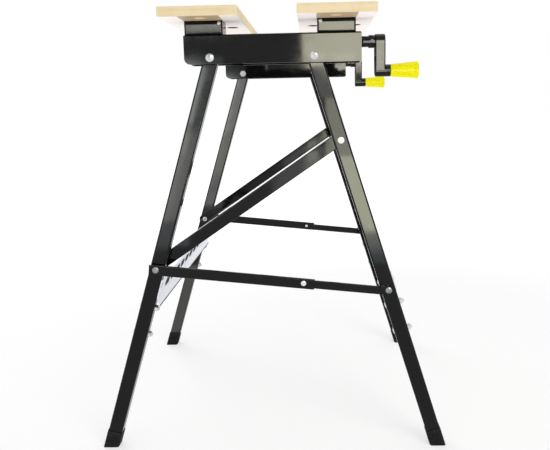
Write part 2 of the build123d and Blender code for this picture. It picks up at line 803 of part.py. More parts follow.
def make_brace():
    """Diagonal brace: a pressed channel with round closed ends, inside the legs."""
    plane = link_plane(brace_low, brace_high, brace_outer_x)
    with BuildPart() as brace:
        with BuildSketch(plane):
            with Locations((brace_span / 2, brace_rise)):
                SlotCenterToCenter(brace_span, brace_width)
        extrude(amount=-brace_depth)
        fillet(brace.faces().sort_by(Axis.X)[0].edges(), brace_sheet)
        with BuildSketch(plane.offset(-brace_sheet)):
            with Locations((brace_span / 2, brace_rise)):
                SlotCenterToCenter(brace_span, brace_width - 2 * brace_sheet)
        extrude(amount=-brace_depth, mode=Mode.SUBTRACT)
        with BuildSketch(plane):
            Circle(hinge_bolt_diameter / 2 + running_clearance)
        extrude(amount=-2 * brace_sheet, mode=Mode.SUBTRACT)
        with BuildSketch(plane.offset(-brace_sheet)):
            with Locations((brace_span, 0)):
                Circle(hinge_head_diameter / 2)
        extrude(amount=-hinge_head_height)
    return brace.part


def hinge_plane(point, x):
    """Plane across a side hinge, with its normal to the left."""
    return Plane((x, point.Y, point.Z), x_dir=(0, 1, 0), z_dir=(-1, 0, 0))


def make_rear_stretcher():
    """Rear half of the folding stretcher: an outer channel with the knee rivet near its end."""
    length = rear_stretcher_tail + stretcher_knee + rear_stretcher_overlap
    middle = length / 2 - rear_stretcher_tail
    plane = link_plane(brace_low, stretcher_front_point, rear_stretcher_outer_x)
    with BuildPart() as stretcher:
        with BuildSketch(plane):
            with Locations((middle, -rear_stretcher_drop)):
                Rectangle(length, rear_stretcher_width)
        extrude(amount=-rear_stretcher_depth)
        fillet(stretcher.faces().sort_by(Axis.X)[0].edges(), stretcher_sheet)
        with BuildSketch(plane.offset(-stretcher_sheet)):
            with Locations((middle, -rear_stretcher_drop)):
                Rectangle(2 * length, rear_stretcher_width - 2 * stretcher_sheet)
        extrude(amount=-rear_stretcher_depth, mode=Mode.SUBTRACT)
        with BuildSketch(plane):
            Circle(hinge_bolt_diameter / 2 + running_clearance)
            with Locations((stretcher_knee, 0)):
                Circle(knee_rivet_diameter / 2 + hole_clearance)
        extrude(amount=-2 * stretcher_sheet, mode=Mode.SUBTRACT)
    return stretcher.part


def make_knee_rivet():
    """Knee rivet in the rear stretcher, headed outside and spread inside the channel."""
    head = hinge_plane(knee_point, rear_stretcher_outer_x)
    with BuildPart() as rivet:
        dome_head(head, knee_head_diameter, knee_head_height)
        round_bar(head, knee_rivet_diameter, -stretcher_sheet)
        round_bar(head.offset(-stretcher_sheet), knee_head_diameter, -knee_tail_height)
    return rivet.part


def make_front_stretcher():
    """Front half of the folding stretcher: a shallow pressing with an eye at the front leg."""
    plane = link_plane(knee_point, stretcher_front_point, front_stretcher_outer_x)
    with BuildPart() as stretcher:
        with BuildSketch(plane):
            with Locations((knee_span / 2, -front_stretcher_drop)):
                SlotCenterToCenter(knee_span, front_stretcher_width)
            with Locations((knee_span, 0)):
                Circle(front_stretcher_eye / 2)
        extrude(amount=-front_stretcher_depth)
        with BuildSketch(plane.offset(-front_stretcher_depth)):
            with Locations((knee_span / 2, -front_stretcher_drop)):
                SlotOverall(knee_span - 2 * front_stretcher_eye, front_stretcher_width - 2 * stretcher_sheet)
        extrude(amount=front_stretcher_pocket, mode=Mode.SUBTRACT)
        with BuildSketch(plane):
            with Locations((knee_span, 0)):
                Circle(hinge_bolt_diameter / 2 + running_clearance)
        extrude(amount=-front_stretcher_depth, mode=Mode.SUBTRACT)
        with BuildSketch(plane.offset(-front_stretcher_depth)):
            Circle(knee_head_diameter / 2)
        extrude(amount=-knee_tail_height)
    return stretcher.part


def make_rear_hinge_bolts():
    """Bolts on the rear legs that carry the stretchers outside and the braces inside."""
    head = hinge_plane(brace_low, rear_stretcher_outer_x - end_play)
    tip_x = brace_outer_x + brace_sheet + end_play + hinge_nut_height + hinge_bolt_tip
    with BuildPart() as bolts:
        round_bar(head, hinge_bolt_diameter, -(tip_x - head.origin.X))
        dome_head(head, hinge_head_diameter, hinge_head_height)
        mirror(about=Plane.YZ)
    return bolts.part


def make_rear_hinge_nuts():
    """Nuts inside the lower ends of the braces."""
    face_x = brace_outer_x + brace_sheet + end_play
    with BuildPart() as nuts:
        hex_nut(hinge_plane(brace_low, face_x + hinge_nut_height), hinge_nut_across,
                hinge_bolt_diameter + 2 * running_clearance, hinge_nut_height)
        mirror(about=Plane.YZ)
    return nuts.part


def make_stretcher_sleeves():
    """Sleeves that hold the rear stretchers off the rear legs."""
    leg_face_x = -(side_x + leg_half)
    seat_x = rear_stretcher_outer_x + stretcher_sheet + end_play
    with BuildPart() as sleeves:
        with BuildSketch(hinge_plane(brace_low, leg_face_x)):
            Circle(hinge_sleeve_diameter / 2)
            Circle(hinge_bolt_diameter / 2 + running_clearance, mode=Mode.SUBTRACT)
        extrude(amount=leg_face_x - seat_x)
        mirror(about=Plane.YZ)
    return sleeves.part


def make_front_hinge_bolts():
    """Bolts on the front legs: the stretcher hinges, and the flush rivets at the upper brace ends."""
    leg_face_x = -(side_x + leg_half)
    inner_face_x = -(side_x - leg_half)
    head_x = front_stretcher_outer_x - end_play
    tip_x = inner_face_x + hinge_nut_height + hinge_bolt_tip
    collar = front_stretcher_inner_x + end_play - leg_face_x
    with BuildPart() as bolts:
        round_bar(hinge_plane(stretcher_front_point, tip_x), hinge_bolt_diameter, tip_x - head_x)
        dome_head(hinge_plane(stretcher_front_point, head_x), hinge_head_diameter, hinge_head_height)
        round_bar(hinge_plane(stretcher_front_point, leg_face_x), hinge_sleeve_diameter, -collar)
        round_bar(hinge_plane(brace_high, inner_face_x), hinge_bolt_diameter, leg_depth)
        dome_head(hinge_plane(brace_high, leg_face_x), hinge_head_diameter, hinge_head_height)
        mirror(about=Plane.YZ)
    return bolts.part


def make_front_hinge_nuts():
    """Nuts inside the front legs at the stretcher hinges."""
    inner_face_x = -(side_x - leg_half)
    with BuildPart() as nuts:
        hex_nut(hinge_plane(stretcher_front_point, inner_face_x + hinge_nut_height), hinge_nut_across,
                hinge_bolt_diameter + 2 * running_clearance, hinge_nut_height)
        mirror(about=Plane.YZ)
    return nuts.part


os.makedirs("parts", exist_ok=True)

save(make_board(rear_board_y, rear_bracket_y), "rear_jaw_board")
save(make_board(front_board_y, front_bracket_y), "front_jaw_board")
save(make_board_screws(rear_bracket_y), "rear_board_screws")
save(make_board_screws(front_bracket_y), "front_board_screws")
save_pair(make_rail(), "rail")
save_pair(make_bracket(front_bracket_y, rail_top, bracket_height, bracket_rivet_places(), rivet_diameter),
          "front_bracket")
save_pair(make_bracket(rear_bracket_y, rail_top + slide_clearance, bracket_height - slide_clearance,
                       [(-side_x, rear_bracket_y)], stud_diameter), "rear_bracket")
save(make_bracket_rivets(), "front_bracket_rivets")
save_pair(make_screw_nut(), "screw_nut")
save_pair(make_lead_screw(), "lead_screw")
save(make_bushes(), "screw_bushes")
save_pair(make_screw_collar(), "screw_collar")
save_pair(make_crank(), "crank")
save_pair(make_crank_pin(), "crank_pin")
save_pair(make_spindle(), "grip_spindle")
save_pair(make_grip(), "grip")
save(make_pivot_bolts(), "leg_pivot_bolts")
save(make_pivot_nuts(), "leg_pivot_nuts")
save(make_pivot_spacers(), "leg_pivot_spacers")
save_pair(make_upper_leg(REAR, [rear_brace_along]), "rear_leg_upper")
save_pair(make_upper_leg(FRONT, [front_brace_along, front_stretcher_along]), "front_leg_upper")
for end, end_name in ((REAR, "rear"), (FRONT, "front")):
    save_pair(make_lower_leg(end), f"{end_name}_leg_lower")
    save_pair(make_foot(end), f"{end_name}_foot")
    save(make_cross_bar(end), f"{end_name}_cross_bar")
    save(make_leg_bolts(end), f"{end_name}_leg_bolts")
    save(make_leg_nuts(end), f"{end_name}_leg_nuts")
save_pair(make_brace(), "brace")
save_pair(make_rear_stretcher(), "rear_stretcher")
save_pair(make_front_stretcher(), "front_stretcher")
save_pair(make_knee_rivet(), "knee_rivet")
save(make_rear_hinge_bolts(), "rear_hinge_bolts")
save(make_rear_hinge_nuts(), "rear_hinge_nuts")
save(make_stretcher_sleeves(), "stretcher_sleeves")
save(make_front_hinge_bolts(), "front_hinge_bolts")
save(make_front_hinge_nuts(), "front_hinge_nuts")
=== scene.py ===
"""Finishes, small turned and pressed pieces, and the stage for a folding clamping workbench."""
import json
import math

import bpy
import numpy as np
from mathutils import Matrix, Quaternion, Vector


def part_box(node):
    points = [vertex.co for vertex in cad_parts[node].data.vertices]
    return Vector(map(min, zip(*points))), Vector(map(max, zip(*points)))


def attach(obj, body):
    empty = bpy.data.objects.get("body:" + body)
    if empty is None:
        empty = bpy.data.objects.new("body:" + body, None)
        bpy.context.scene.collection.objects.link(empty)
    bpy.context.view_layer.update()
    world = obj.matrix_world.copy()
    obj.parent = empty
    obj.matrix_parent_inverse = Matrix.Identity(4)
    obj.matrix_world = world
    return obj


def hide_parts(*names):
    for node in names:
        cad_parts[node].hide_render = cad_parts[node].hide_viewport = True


bl_info = {
    "name": "Folding Workbench",
    "version": (1, 0, 0),
    "blender": (4, 5, 0),
    "location": "3D View > Sidebar > Workbench",
    "description": "Dresses the packed frame of a folding clamping workbench",
    "category": "Object",
}

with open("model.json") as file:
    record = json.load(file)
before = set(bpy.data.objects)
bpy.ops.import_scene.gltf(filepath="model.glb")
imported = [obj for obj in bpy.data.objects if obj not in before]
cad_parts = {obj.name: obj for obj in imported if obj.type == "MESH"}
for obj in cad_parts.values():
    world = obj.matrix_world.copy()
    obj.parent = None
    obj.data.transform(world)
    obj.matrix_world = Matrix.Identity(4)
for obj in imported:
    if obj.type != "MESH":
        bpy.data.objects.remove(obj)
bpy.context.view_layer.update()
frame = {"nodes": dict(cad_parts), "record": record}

SIDES = {"left": -1.0, "right": 1.0}
LEGS = {"rear": 1.0, "front": -1.0}
JOINTS = {joint["name"]: joint for joint in frame["record"]["behaviour"]["joints"]}
MM = 0.001
TURN = 2.0 * math.pi
ACROSS = np.array([1.0, 0.0, 0.0])


# Settings

def setting(make, **fixed):
    """A short way to write settings of one kind: name, description and default."""
    def write(name, description, default):
        return make(name=name, description=description, default=default, **fixed)
    return write


length = setting(bpy.props.FloatProperty, unit="LENGTH", precision=5)
share = setting(bpy.props.FloatProperty, min=0.0, max=1.0, subtype="FACTOR")
angle = setting(bpy.props.FloatProperty, subtype="ANGLE")
amount = setting(bpy.props.FloatProperty)
count = setting(bpy.props.IntProperty, min=1)
colour = setting(bpy.props.FloatVectorProperty, size=3, min=0.0, max=1.0, subtype="COLOR")
place = setting(bpy.props.FloatVectorProperty, size=3, subtype="TRANSLATION", unit="LENGTH")


class PaintSettings(bpy.types.PropertyGroup):
    """Black powder coat of the sheet steel and the tubes."""
    black: colour("Black", "Powder coat where it lies thick", (0.0035, 0.0038, 0.0044))
    thin_black: colour("Thin black", "Powder coat where it is thin", (0.020, 0.021, 0.023))
    dust: colour("Dust", "Faint dust on the paint", (0.011, 0.011, 0.012))
    smooth: share("Polished roughness", "Roughness of the clean paint", 0.05)
    smudged: share("Smudged roughness", "Roughness where the paint was handled", 0.12)
    gloss: share("Gloss level", "How much the paint mirrors seen square on", 0.18)
    peel_size: length("Peel size", "Width of the ripples in the coat", 0.0030)
    peel_depth: length("Peel depth", "Height of the ripples in the coat", 0.0000028)
    edge_width: length("Edge width", "Width of the thin coat along edges", 0.0009)


class WoodSettings(bpy.types.PropertyGroup):
    """Pale wood of the two jaw boards."""
    pale: colour("Pale wood", "Early wood", (0.90, 0.755, 0.49))
    golden: colour("Golden wood", "Late wood", (0.80, 0.615, 0.345))
    # Painted light: the undersides are mixed towards this pale colour, which stands in for strong
    # light from below.
    sealed: colour("Sealed underside", "Pale sealer on the undersides", (0.80, 0.765, 0.765))
    # Painted shade: this darker colour on the underside between each bracket and the board end
    # stands in for the bracket's shade.
    bare: colour("Bare seat", "Unsealed wood round the bracket seats", (0.29, 0.20, 0.075))
    # Partly darker end grain, partly painted shade: this dark colour lines the walls inside the
    # holes.
    drilled: colour("Drilled wood", "Walls of the holes through the boards", (0.26, 0.135, 0.065))
    fibre_width: length("Fibre width", "Width of the grain lines on the faces", 0.0045)
    layer_height: length("Layer height", "Height of the streaks on the board ends", 0.0040)
    rough: share("Roughness", "Roughness of the sanded wood", 0.52)
    seat_reach: length("Seat reach", "How far the bare seat runs each side of a bracket", 0.0325)
    seat_start: length("Seat start", "Where the bare seat starts, from the middle", 0.2505)
    seat_share: share("Seat share", "How much of the sealer a bracket seat lacks", 0.85)


class MetalSettings(bpy.types.PropertyGroup):
    """Zinc plate of the fasteners, the cross bars and the lead screws."""
    zinc: colour("Zinc", "Bright zinc plate", (0.70, 0.71, 0.73))
    cloudy_zinc: colour("Cloudy zinc", "Zinc plate with a dull bloom", (0.54, 0.555, 0.58))
    dull_zinc: colour("Dull zinc", "Plate of the hinge bolts and crank pins", (0.34, 0.355, 0.375))
    dim_zinc: colour("Dim zinc", "Bloom on the dull plate", (0.22, 0.235, 0.25))
    sheet_zinc: colour("Sheet zinc", "Plated sheet of the cross bars", (0.80, 0.81, 0.86))
    sheet_bloom: colour("Sheet bloom", "Bloom on the plated sheet", (0.70, 0.715, 0.77))
    # Painted highlight: the rivets at the upper brace ends turn this bright zinc above a height,
    # standing in for the highlight on them.
    rubbed_zinc: colour("Rubbed zinc", "Rivets at the upper brace ends", (0.94, 0.95, 0.88))
    rubbed_from: length("Rubbed from", "Height above which the rivets are rubbed", 0.42)
    grease: colour("Grease", "Old grease in the screw threads", (0.055, 0.048, 0.040))
    bright: share("Bright roughness", "Roughness of the bright plate", 0.20)
    dull: share("Dull roughness", "Roughness of the dull plate", 0.40)
    satin: share("Satin roughness", "Roughness of the plated sheet", 0.36)
    hazy: share("Hazy roughness", "Roughness of the bloom on the plated sheet", 0.50)


class PlasticSettings(bpy.types.PropertyGroup):
    """Yellow grips, black cranks and black feet."""
    yellow: colour("Yellow", "Grip colour", (0.90, 0.85, 0.004))
    yellow_shade: colour("Yellow shade", "Grip colour in the flow clouds", (0.88, 0.81, 0.004))
    grip_rough: share("Grip roughness", "Roughness of the grips", 0.36)
    crank_black: colour("Crank black", "Crank colour", (0.0045, 0.0045, 0.005))
    crank_grey: colour("Crank grey", "Crank colour where it is rubbed", (0.012, 0.012, 0.012))
    crank_rough: share("Crank roughness", "Roughness of the cranks", 0.10)
    foot_black: colour("Foot black", "Foot and bush colour", (0.006, 0.006, 0.007))
    foot_grey: colour("Foot grey", "Dusty foot colour", (0.022, 0.022, 0.021))
    foot_rough: share("Foot roughness", "Roughness of the feet and bushes", 0.58)


class PieceSettings(bpy.types.PropertyGroup):
    """Sizes of the small pieces."""
    screw_lead: length("Screw lead", "Travel of the jaw for one turn", 0.004)
    thread_depth: length("Thread depth", "Depth of the lead screw's thread", 0.00085)
    plain_front: length("Plain front", "Unthreaded length at the crank end", 0.052)
    plain_rear: length("Plain rear", "Unthreaded length at the rear end", 0.014)
    grip_neck: length("Grip neck", "Diameter of a grip's small end", 0.020)
    grip_bore: length("Grip bore", "Diameter of the hole for the spindle", 0.0081)
    grip_cup: length("Grip cup", "Diameter of the recess in the large end", 0.016)
    cup_depth: length("Cup depth", "Depth of the recess in the large end", 0.006)
    grip_round: length("Grip round", "Rounding of the large end", 0.0015)
    ring_place: length("Ring place", "Ring's distance from the large end", 0.0062)
    ring_depth: length("Ring depth", "Depth of the grip's ring", 0.00035)
    seam_height: length("Seam height", "Height of the mould seam on a grip", 0.00009)
    leg_tilt: angle("Leg tilt", "Lean of the legs from upright", math.radians(17.0))
    tip_start: length("Tip start", "Leg bolt tip, from the leg's middle", 0.0175)
    tip_end: length("Tip end", "Leg bolt end, from the leg's middle", 0.0202)
    first_bolt: length("First bolt", "First leg bolt, along the leg from its pivot", 0.447)
    bolt_pitch: length("Bolt pitch", "Distance between a leg's bolts", 0.050)
    slot_along: length("Slot along", "Slots, along the leg from its pivot", 0.40825)
    slot_count: count("Slot count", "Slots of a cross bar", 10)
    slot_pitch: length("Slot pitch", "Distance between a bar's slots", 0.042)
    slot_length: length("Slot length", "Length of a slot", 0.028)
    slot_height: length("Slot height", "Height of a slot", 0.009)
    bar_sheet: length("Bar sheet", "Thickness of a cross bar's sheet", 0.0015)
    bar_face: length("Bar face", "Bar's front face, from the legs' middle", 0.0140)
    plug_gap: length("Plug gap", "Play of a plug in a bar's slot", 0.0001)
    cap_length: length("Cap length", "Length of a plug's cap", 0.029)
    cap_height: length("Cap height", "Height of a plug's cap", 0.015)
    cap_lift: length("Cap lift", "Thickness of a plug's cap", 0.0006)
    # Painted shadow: the rear bar's edging is a matt black bead that stands in for the shaded lower
    # edge of the lip.
    edging_along: length("Edging along", "Rear bar's edging, along the leg from its pivot", 0.4376)
    edging_face: length("Edging face", "Rear bar's edging, from the legs' middle", 0.0208)
    edging_length: length("Edging length", "Length of the rear bar's edging", 0.4878)
    edging_width: length("Edging width", "Thickness of the rear bar's edging", 0.0026)


class StageSettings(bpy.types.PropertyGroup):
    """Camera, ambient light and floor."""
    eye: place("Eye", "Camera place", (-1.23927, -0.08178, 0.60701))
    yaw: angle("Yaw", "Turn of the camera from the cross direction", math.radians(-1.5212))
    pitch: angle("Pitch", "Tilt of the camera towards the floor", math.radians(7.9890))
    roll: angle("Roll", "Roll of the camera", math.radians(1.1811))
    focal: length("Focal length", "Focal length of the lens", 0.038618)
    shift_across: amount("Shift across", "Sideways shift of the picture", -0.0430)
    shift_up: amount("Shift up", "Upward shift of the picture", -0.0628)
    ambient: amount("Ambient", "Even light from all round", 0.40)
    floor_white: share("Floor white", "Share of the floor's white that has no shadow", 0.55)
    floor_grey: share("Floor grey", "Share of the floor's white that takes the shadow", 0.50)
    floor_bounce: share("Floor bounce", "How much light the floor throws back", 0.75)


# Surfaces

def shell(grid, looped=False):
    """Closed mesh of a grid of points whose columns run round a ring.

    Each row is a ring. Neighbouring rings are joined by quads. The first and last rings are
    joined to each other when looped, and are closed by flat caps when not. The quads are
    turned outwards when the volume under them, seen from their middle, comes out negative.
    """
    rows, columns = grid.shape[:2]
    points = grid.reshape(-1, 3)
    row = np.arange(rows if looped else rows - 1)[:, None] * columns
    column = np.arange(columns)[None, :]
    following = (column + 1) % columns
    upper = (row + columns) % (rows * columns)
    quads = np.stack([row + column, row + following, upper + following, upper + column], axis=-1)
    quads = quads.reshape(-1, 4)
    caps = np.zeros((0, columns), dtype=int)
    if not looped:
        ring = np.arange(columns)
        caps = np.stack([ring[::-1], ring + (rows - 1) * columns])
    corners = points[quads] - points.mean(axis=0)
    first, second, third, fourth = (corners[:, k] for k in range(4))
    volume = np.sum(first * (np.cross(second, third) + np.cross(third, fourth)))
    if volume < 0.0:
        quads = quads[:, ::-1]
        caps = caps[:, ::-1]
    return points, quads.tolist() + caps.tolist()


def around(axis):
    """Two unit vectors square to an axis, turned from the first to the second by the right hand."""
    axis = np.asarray(axis, dtype=float)
    first = np.array([0.0, 0.0, 1.0]) if abs(axis[2]) < 0.9 else ACROSS
    first = first - axis * first.dot(axis)
    first /= np.linalg.norm(first)
    return first, np.cross(axis, first)


def turned(start, axis, along, radius, columns):
    """Surface of revolution: start + along * axis + radius * (cos t * first + sin t * second).

    Along is one value for each row. Radius is one value for each row, or one for each grid point.
    """
    first, second = around(axis)
    turn = np.linspace(0.0, TURN, columns, endpoint=False)
    out = np.cos(turn)[:, None] * first + np.sin(turn)[:, None] * second
    line = start + along[:, None] * axis
    return line[:, None, :] + radius.reshape(len(along), -1, 1) * out


def carried(path, across, up, profile):
    """Profile carried along a path: path point + profile x * across + profile y * up."""
    wide = profile[None, :, 0, None] * across[:, None, :]
    high = profile[None, :, 1, None] * up[:, None, :]
    return path[:, None, :] + wide + high


def add_object(name, data):
    """New object of a mesh, a lamp or a camera, linked to the scene."""
    added = bpy.data.objects.new(name, data)
    bpy.context.scene.collection.objects.link(added)
    return added


def add_piece(name, shells, body, material, replaced=(), sharp_degrees=38.0):
    """Join shells into one mesh object with its place in its mesh, riding on a body."""
    points, faces = [], []
    for more_points, more_faces in shells:
        start = len(points)
        points.extend(more_points.tolist())
        faces.extend([corner + start for corner in face] for face in more_faces)
    mesh = bpy.data.meshes.new(name)
    mesh.from_pydata(points, [], faces)
    mesh.shade_smooth()
    mesh.set_sharp_from_angle(angle=math.radians(sharp_degrees))
    mesh.materials.append(material)
    mesh.validate()
    piece = add_object(name, mesh)
    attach(piece, body)
    if replaced:
        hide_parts(*replaced)
    return piece


def leg_axes(end):
    """Directions of a leg: down its length, and forward out of its front face."""
    tilt = bpy.context.scene.bench_pieces.leg_tilt
    down = np.array([0.0, LEGS[end] * math.sin(tilt), -math.cos(tilt)])
    forward = np.array([0.0, -math.cos(tilt), -LEGS[end] * math.sin(tilt)])
    return down, forward


def leg_point(end, side_x, along):
    """Point on a leg's middle line, a distance down from its pivot."""
    pivot = np.array(JOINTS[f"{end}_legs_fold"]["pos_m"])
    down, _ = leg_axes(end)
    return pivot + side_x * ACROSS + along * down


def side_place(side):
    """Place of a side rail's middle across the bench."""
    low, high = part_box(f"rail_{side}")
    return 0.5 * (low.x + high.x)


# Finishes

def feed(tree, socket, value):
    """Link a socket to a value's socket, or set it to a constant."""
    if isinstance(value, bpy.types.NodeSocket):
        tree.links.new(value, socket)
    else:
        socket.default_value = value


def add_node(tree, kind, inputs, **choices):
    """Add a shader node with its choices and inputs set."""
    node = tree.nodes.new(f"ShaderNode{kind}")
    for key, value in choices.items():
        setattr(node, key, value)
    for key, value in inputs.items():
        feed(tree, node.inputs[key], value)
    return node


def chain(tree, operation, first, *others):
    """One kind of sum, carried along a row of numbers."""
    for other in others or (0.0,):
        first = add_node(tree, "Math", {0: first, 1: other}, operation=operation).outputs[0]
    return first


def tint(value):
    """Colour with full opacity, or a socket as it is."""
    return value if isinstance(value, bpy.types.NodeSocket) else (*value[:3], 1.0)


class Finish:
    """Material with its shader, its place vector and short ways to add nodes."""

    def __init__(self, name, **shader):
        self.material = bpy.data.materials.new(name)
        self.material.use_nodes = True
        self.tree = self.material.node_tree
        self.shader = self.tree.nodes["Principled BSDF"]
        self.place = add_node(self.tree, "TexCoord", {}).outputs["Object"]
        for key, value in shader.items():
            self.shader.inputs[key.replace("_", " ")].default_value = value

    def stretch(self, scale):
        """Place vector stretched by a Mapping node."""
        inputs = {"Vector": self.place, "Scale": scale}
        return add_node(self.tree, "Mapping", inputs).outputs[0]

    def parts(self):
        """X, Y and Z of the place vector."""
        return add_node(self.tree, "SeparateXYZ", {0: self.place}).outputs

    def noise(self, scale, detail=2.0, vector=None, rough=0.5, twist=0.0):
        """Cloudy noise from 0 to 1."""
        inputs = {"Vector": vector or self.place, "Scale": scale, "Detail": detail,
                  "Roughness": rough, "Distortion": twist}
        return add_node(self.tree, "TexNoise", inputs).outputs[0]

    def ramp(self, value, low, high, start=0.0, end=1.0):
        """Straight ramp that goes from start to end as value goes from low to high."""
        inputs = {"Value": value, "From Min": low, "From Max": high, "To Min": start, "To Max": end}
        return add_node(self.tree, "MapRange", inputs).outputs["Result"]

    def math(self, operation, first, *others):
        """Chain of sums in this finish."""
        return chain(self.tree, operation, first, *others)

    def mix(self, share_of_second, first, second):
        """Colour between two colours."""
        inputs = {0: share_of_second, 6: tint(first), 7: tint(second)}
        return add_node(self.tree, "Mix", inputs, data_type="RGBA").outputs[2]

    def bump(self, height, distance, strength=1.0):
        """Bumped normal."""
        inputs = {"Height": height, "Distance": distance, "Strength": strength}
        return add_node(self.tree, "Bump", inputs).outputs["Normal"]

    def edge(self, width):
        """Share of edge: how far the normal rounded over a width leaves the true one."""
        rounded = add_node(self.tree, "Bevel", {"Radius": width}, samples=4).outputs["Normal"]
        true = add_node(self.tree, "NewGeometry", {}).outputs["Normal"]
        along = add_node(self.tree, "VectorMath", {0: rounded, 1: true}, operation="DOT_PRODUCT")
        return self.ramp(along.outputs["Value"], 0.995, 0.80)

    def wear(self, base, roughness, normal):
        """Feed the shader with its colour, roughness and normal."""
        for key, value in (("Base Color", base), ("Roughness", roughness), ("Normal", normal)):
            feed(self.tree, self.shader.inputs[key], value)
        return self.material


def black_powder_coat(scene):
    """Black powder coat: rippled, smudged, faintly dusty, thin along edges."""
    paint = scene.bench_paint
    finish = Finish("black_powder_coat", Specular_IOR_Level=paint.gloss)
    ripples = finish.noise(1.0 / paint.peel_size, 1.0)
    grain = finish.noise(1400.0, 1.0)
    height = finish.math("ADD", ripples, finish.math("MULTIPLY", grain, 0.16))
    handled = finish.ramp(finish.noise(17.0, 5.0, rough=0.62, twist=0.4), 0.42, 0.68)
    dust = finish.ramp(finish.noise(260.0, 3.0, rough=0.7), 0.58, 0.80)
    clouds = finish.ramp(finish.noise(9.0, 3.0), 0.35, 0.75)
    body = finish.mix(finish.math("MULTIPLY", dust, clouds), paint.black, paint.dust)
    base = finish.mix(finish.edge(paint.edge_width), body, paint.thin_black)
    roughness = finish.ramp(handled, 0.0, 1.0, paint.smooth, paint.smudged)
    return finish.wear(base, roughness, finish.bump(height, paint.peel_depth))


def plate(name, clean, bloomed, smooth, rough, rubbed=None, rubbed_from=0.0):
    """Plated steel: cloudy bloom on clean metal, a fine grain, and a painted highlight: bright
    above a height.
    """
    finish = Finish(name, Metallic=1.0)
    bloom = finish.ramp(finish.noise(180.0, 4.0, rough=0.6), 0.36, 0.66)
    fine = finish.noise(2600.0, 2.0)
    base = finish.mix(bloom, clean, bloomed)
    # Painted highlight: above the height the colour turns to the bright one.
    if rubbed is not None:
        height = finish.parts()["Z"]
        base = finish.mix(finish.ramp(height, rubbed_from, rubbed_from + MM), base, rubbed)
    roughness = finish.ramp(bloom, 0.0, 1.0, smooth, rough)
    return finish.wear(base, roughness, finish.bump(fine, 0.00002, 0.35))


def zinc_plate(scene):
    """Bright zinc plate of the pivot bolts, nuts, rivets and spindles."""
    metal = scene.bench_metal
    return plate("zinc_plate", metal.zinc, metal.cloudy_zinc, metal.bright, metal.dull)


def dull_zinc_plate(scene):
    """Dull zinc plate of the rear hinge bolts and the crank pins."""
    metal = scene.bench_metal
    return plate("dull_zinc_plate", metal.dull_zinc, metal.dim_zinc, metal.bright, metal.dull)


def hinge_zinc(scene):
    """Dull zinc plate of the front hinge bolts, with a painted highlight on the rivets above them.
    """
    metal = scene.bench_metal
    return plate("hinge_zinc", metal.dull_zinc, metal.dim_zinc, metal.bright, metal.dull,
                 metal.rubbed_zinc, metal.rubbed_from)


def sheet_zinc(scene):
    """Satin zinc plate of the pressed cross bars and the knee rivets."""
    metal = scene.bench_metal
    return plate("sheet_zinc", metal.sheet_zinc, metal.sheet_bloom, metal.satin, metal.hazy)


def greased_screw(scene):
    """Zinc plated screw steel, dark with grease down in its grooves."""
    metal = scene.bench_metal
    finish = Finish("greased_screw", Metallic=1.0)
    groove = add_node(finish.tree, "Attribute", {}, attribute_name="groove").outputs["Fac"]
    patches = finish.ramp(finish.noise(90.0, 4.0), 0.30, 0.70, 0.35, 0.95)
    greasy = finish.math("MULTIPLY", groove, patches)
    bloom = finish.ramp(finish.noise(240.0, 3.0), 0.35, 0.70)
    plated = finish.mix(bloom, metal.zinc, metal.cloudy_zinc)
    base = finish.mix(greasy, plated, metal.grease)
    roughness = finish.ramp(finish.math("ADD", bloom, greasy), 0.0, 2.0, metal.bright, metal.dull)
    return finish.wear(base, roughness, finish.bump(finish.noise(1800.0, 2.0), 0.00002, 0.3))


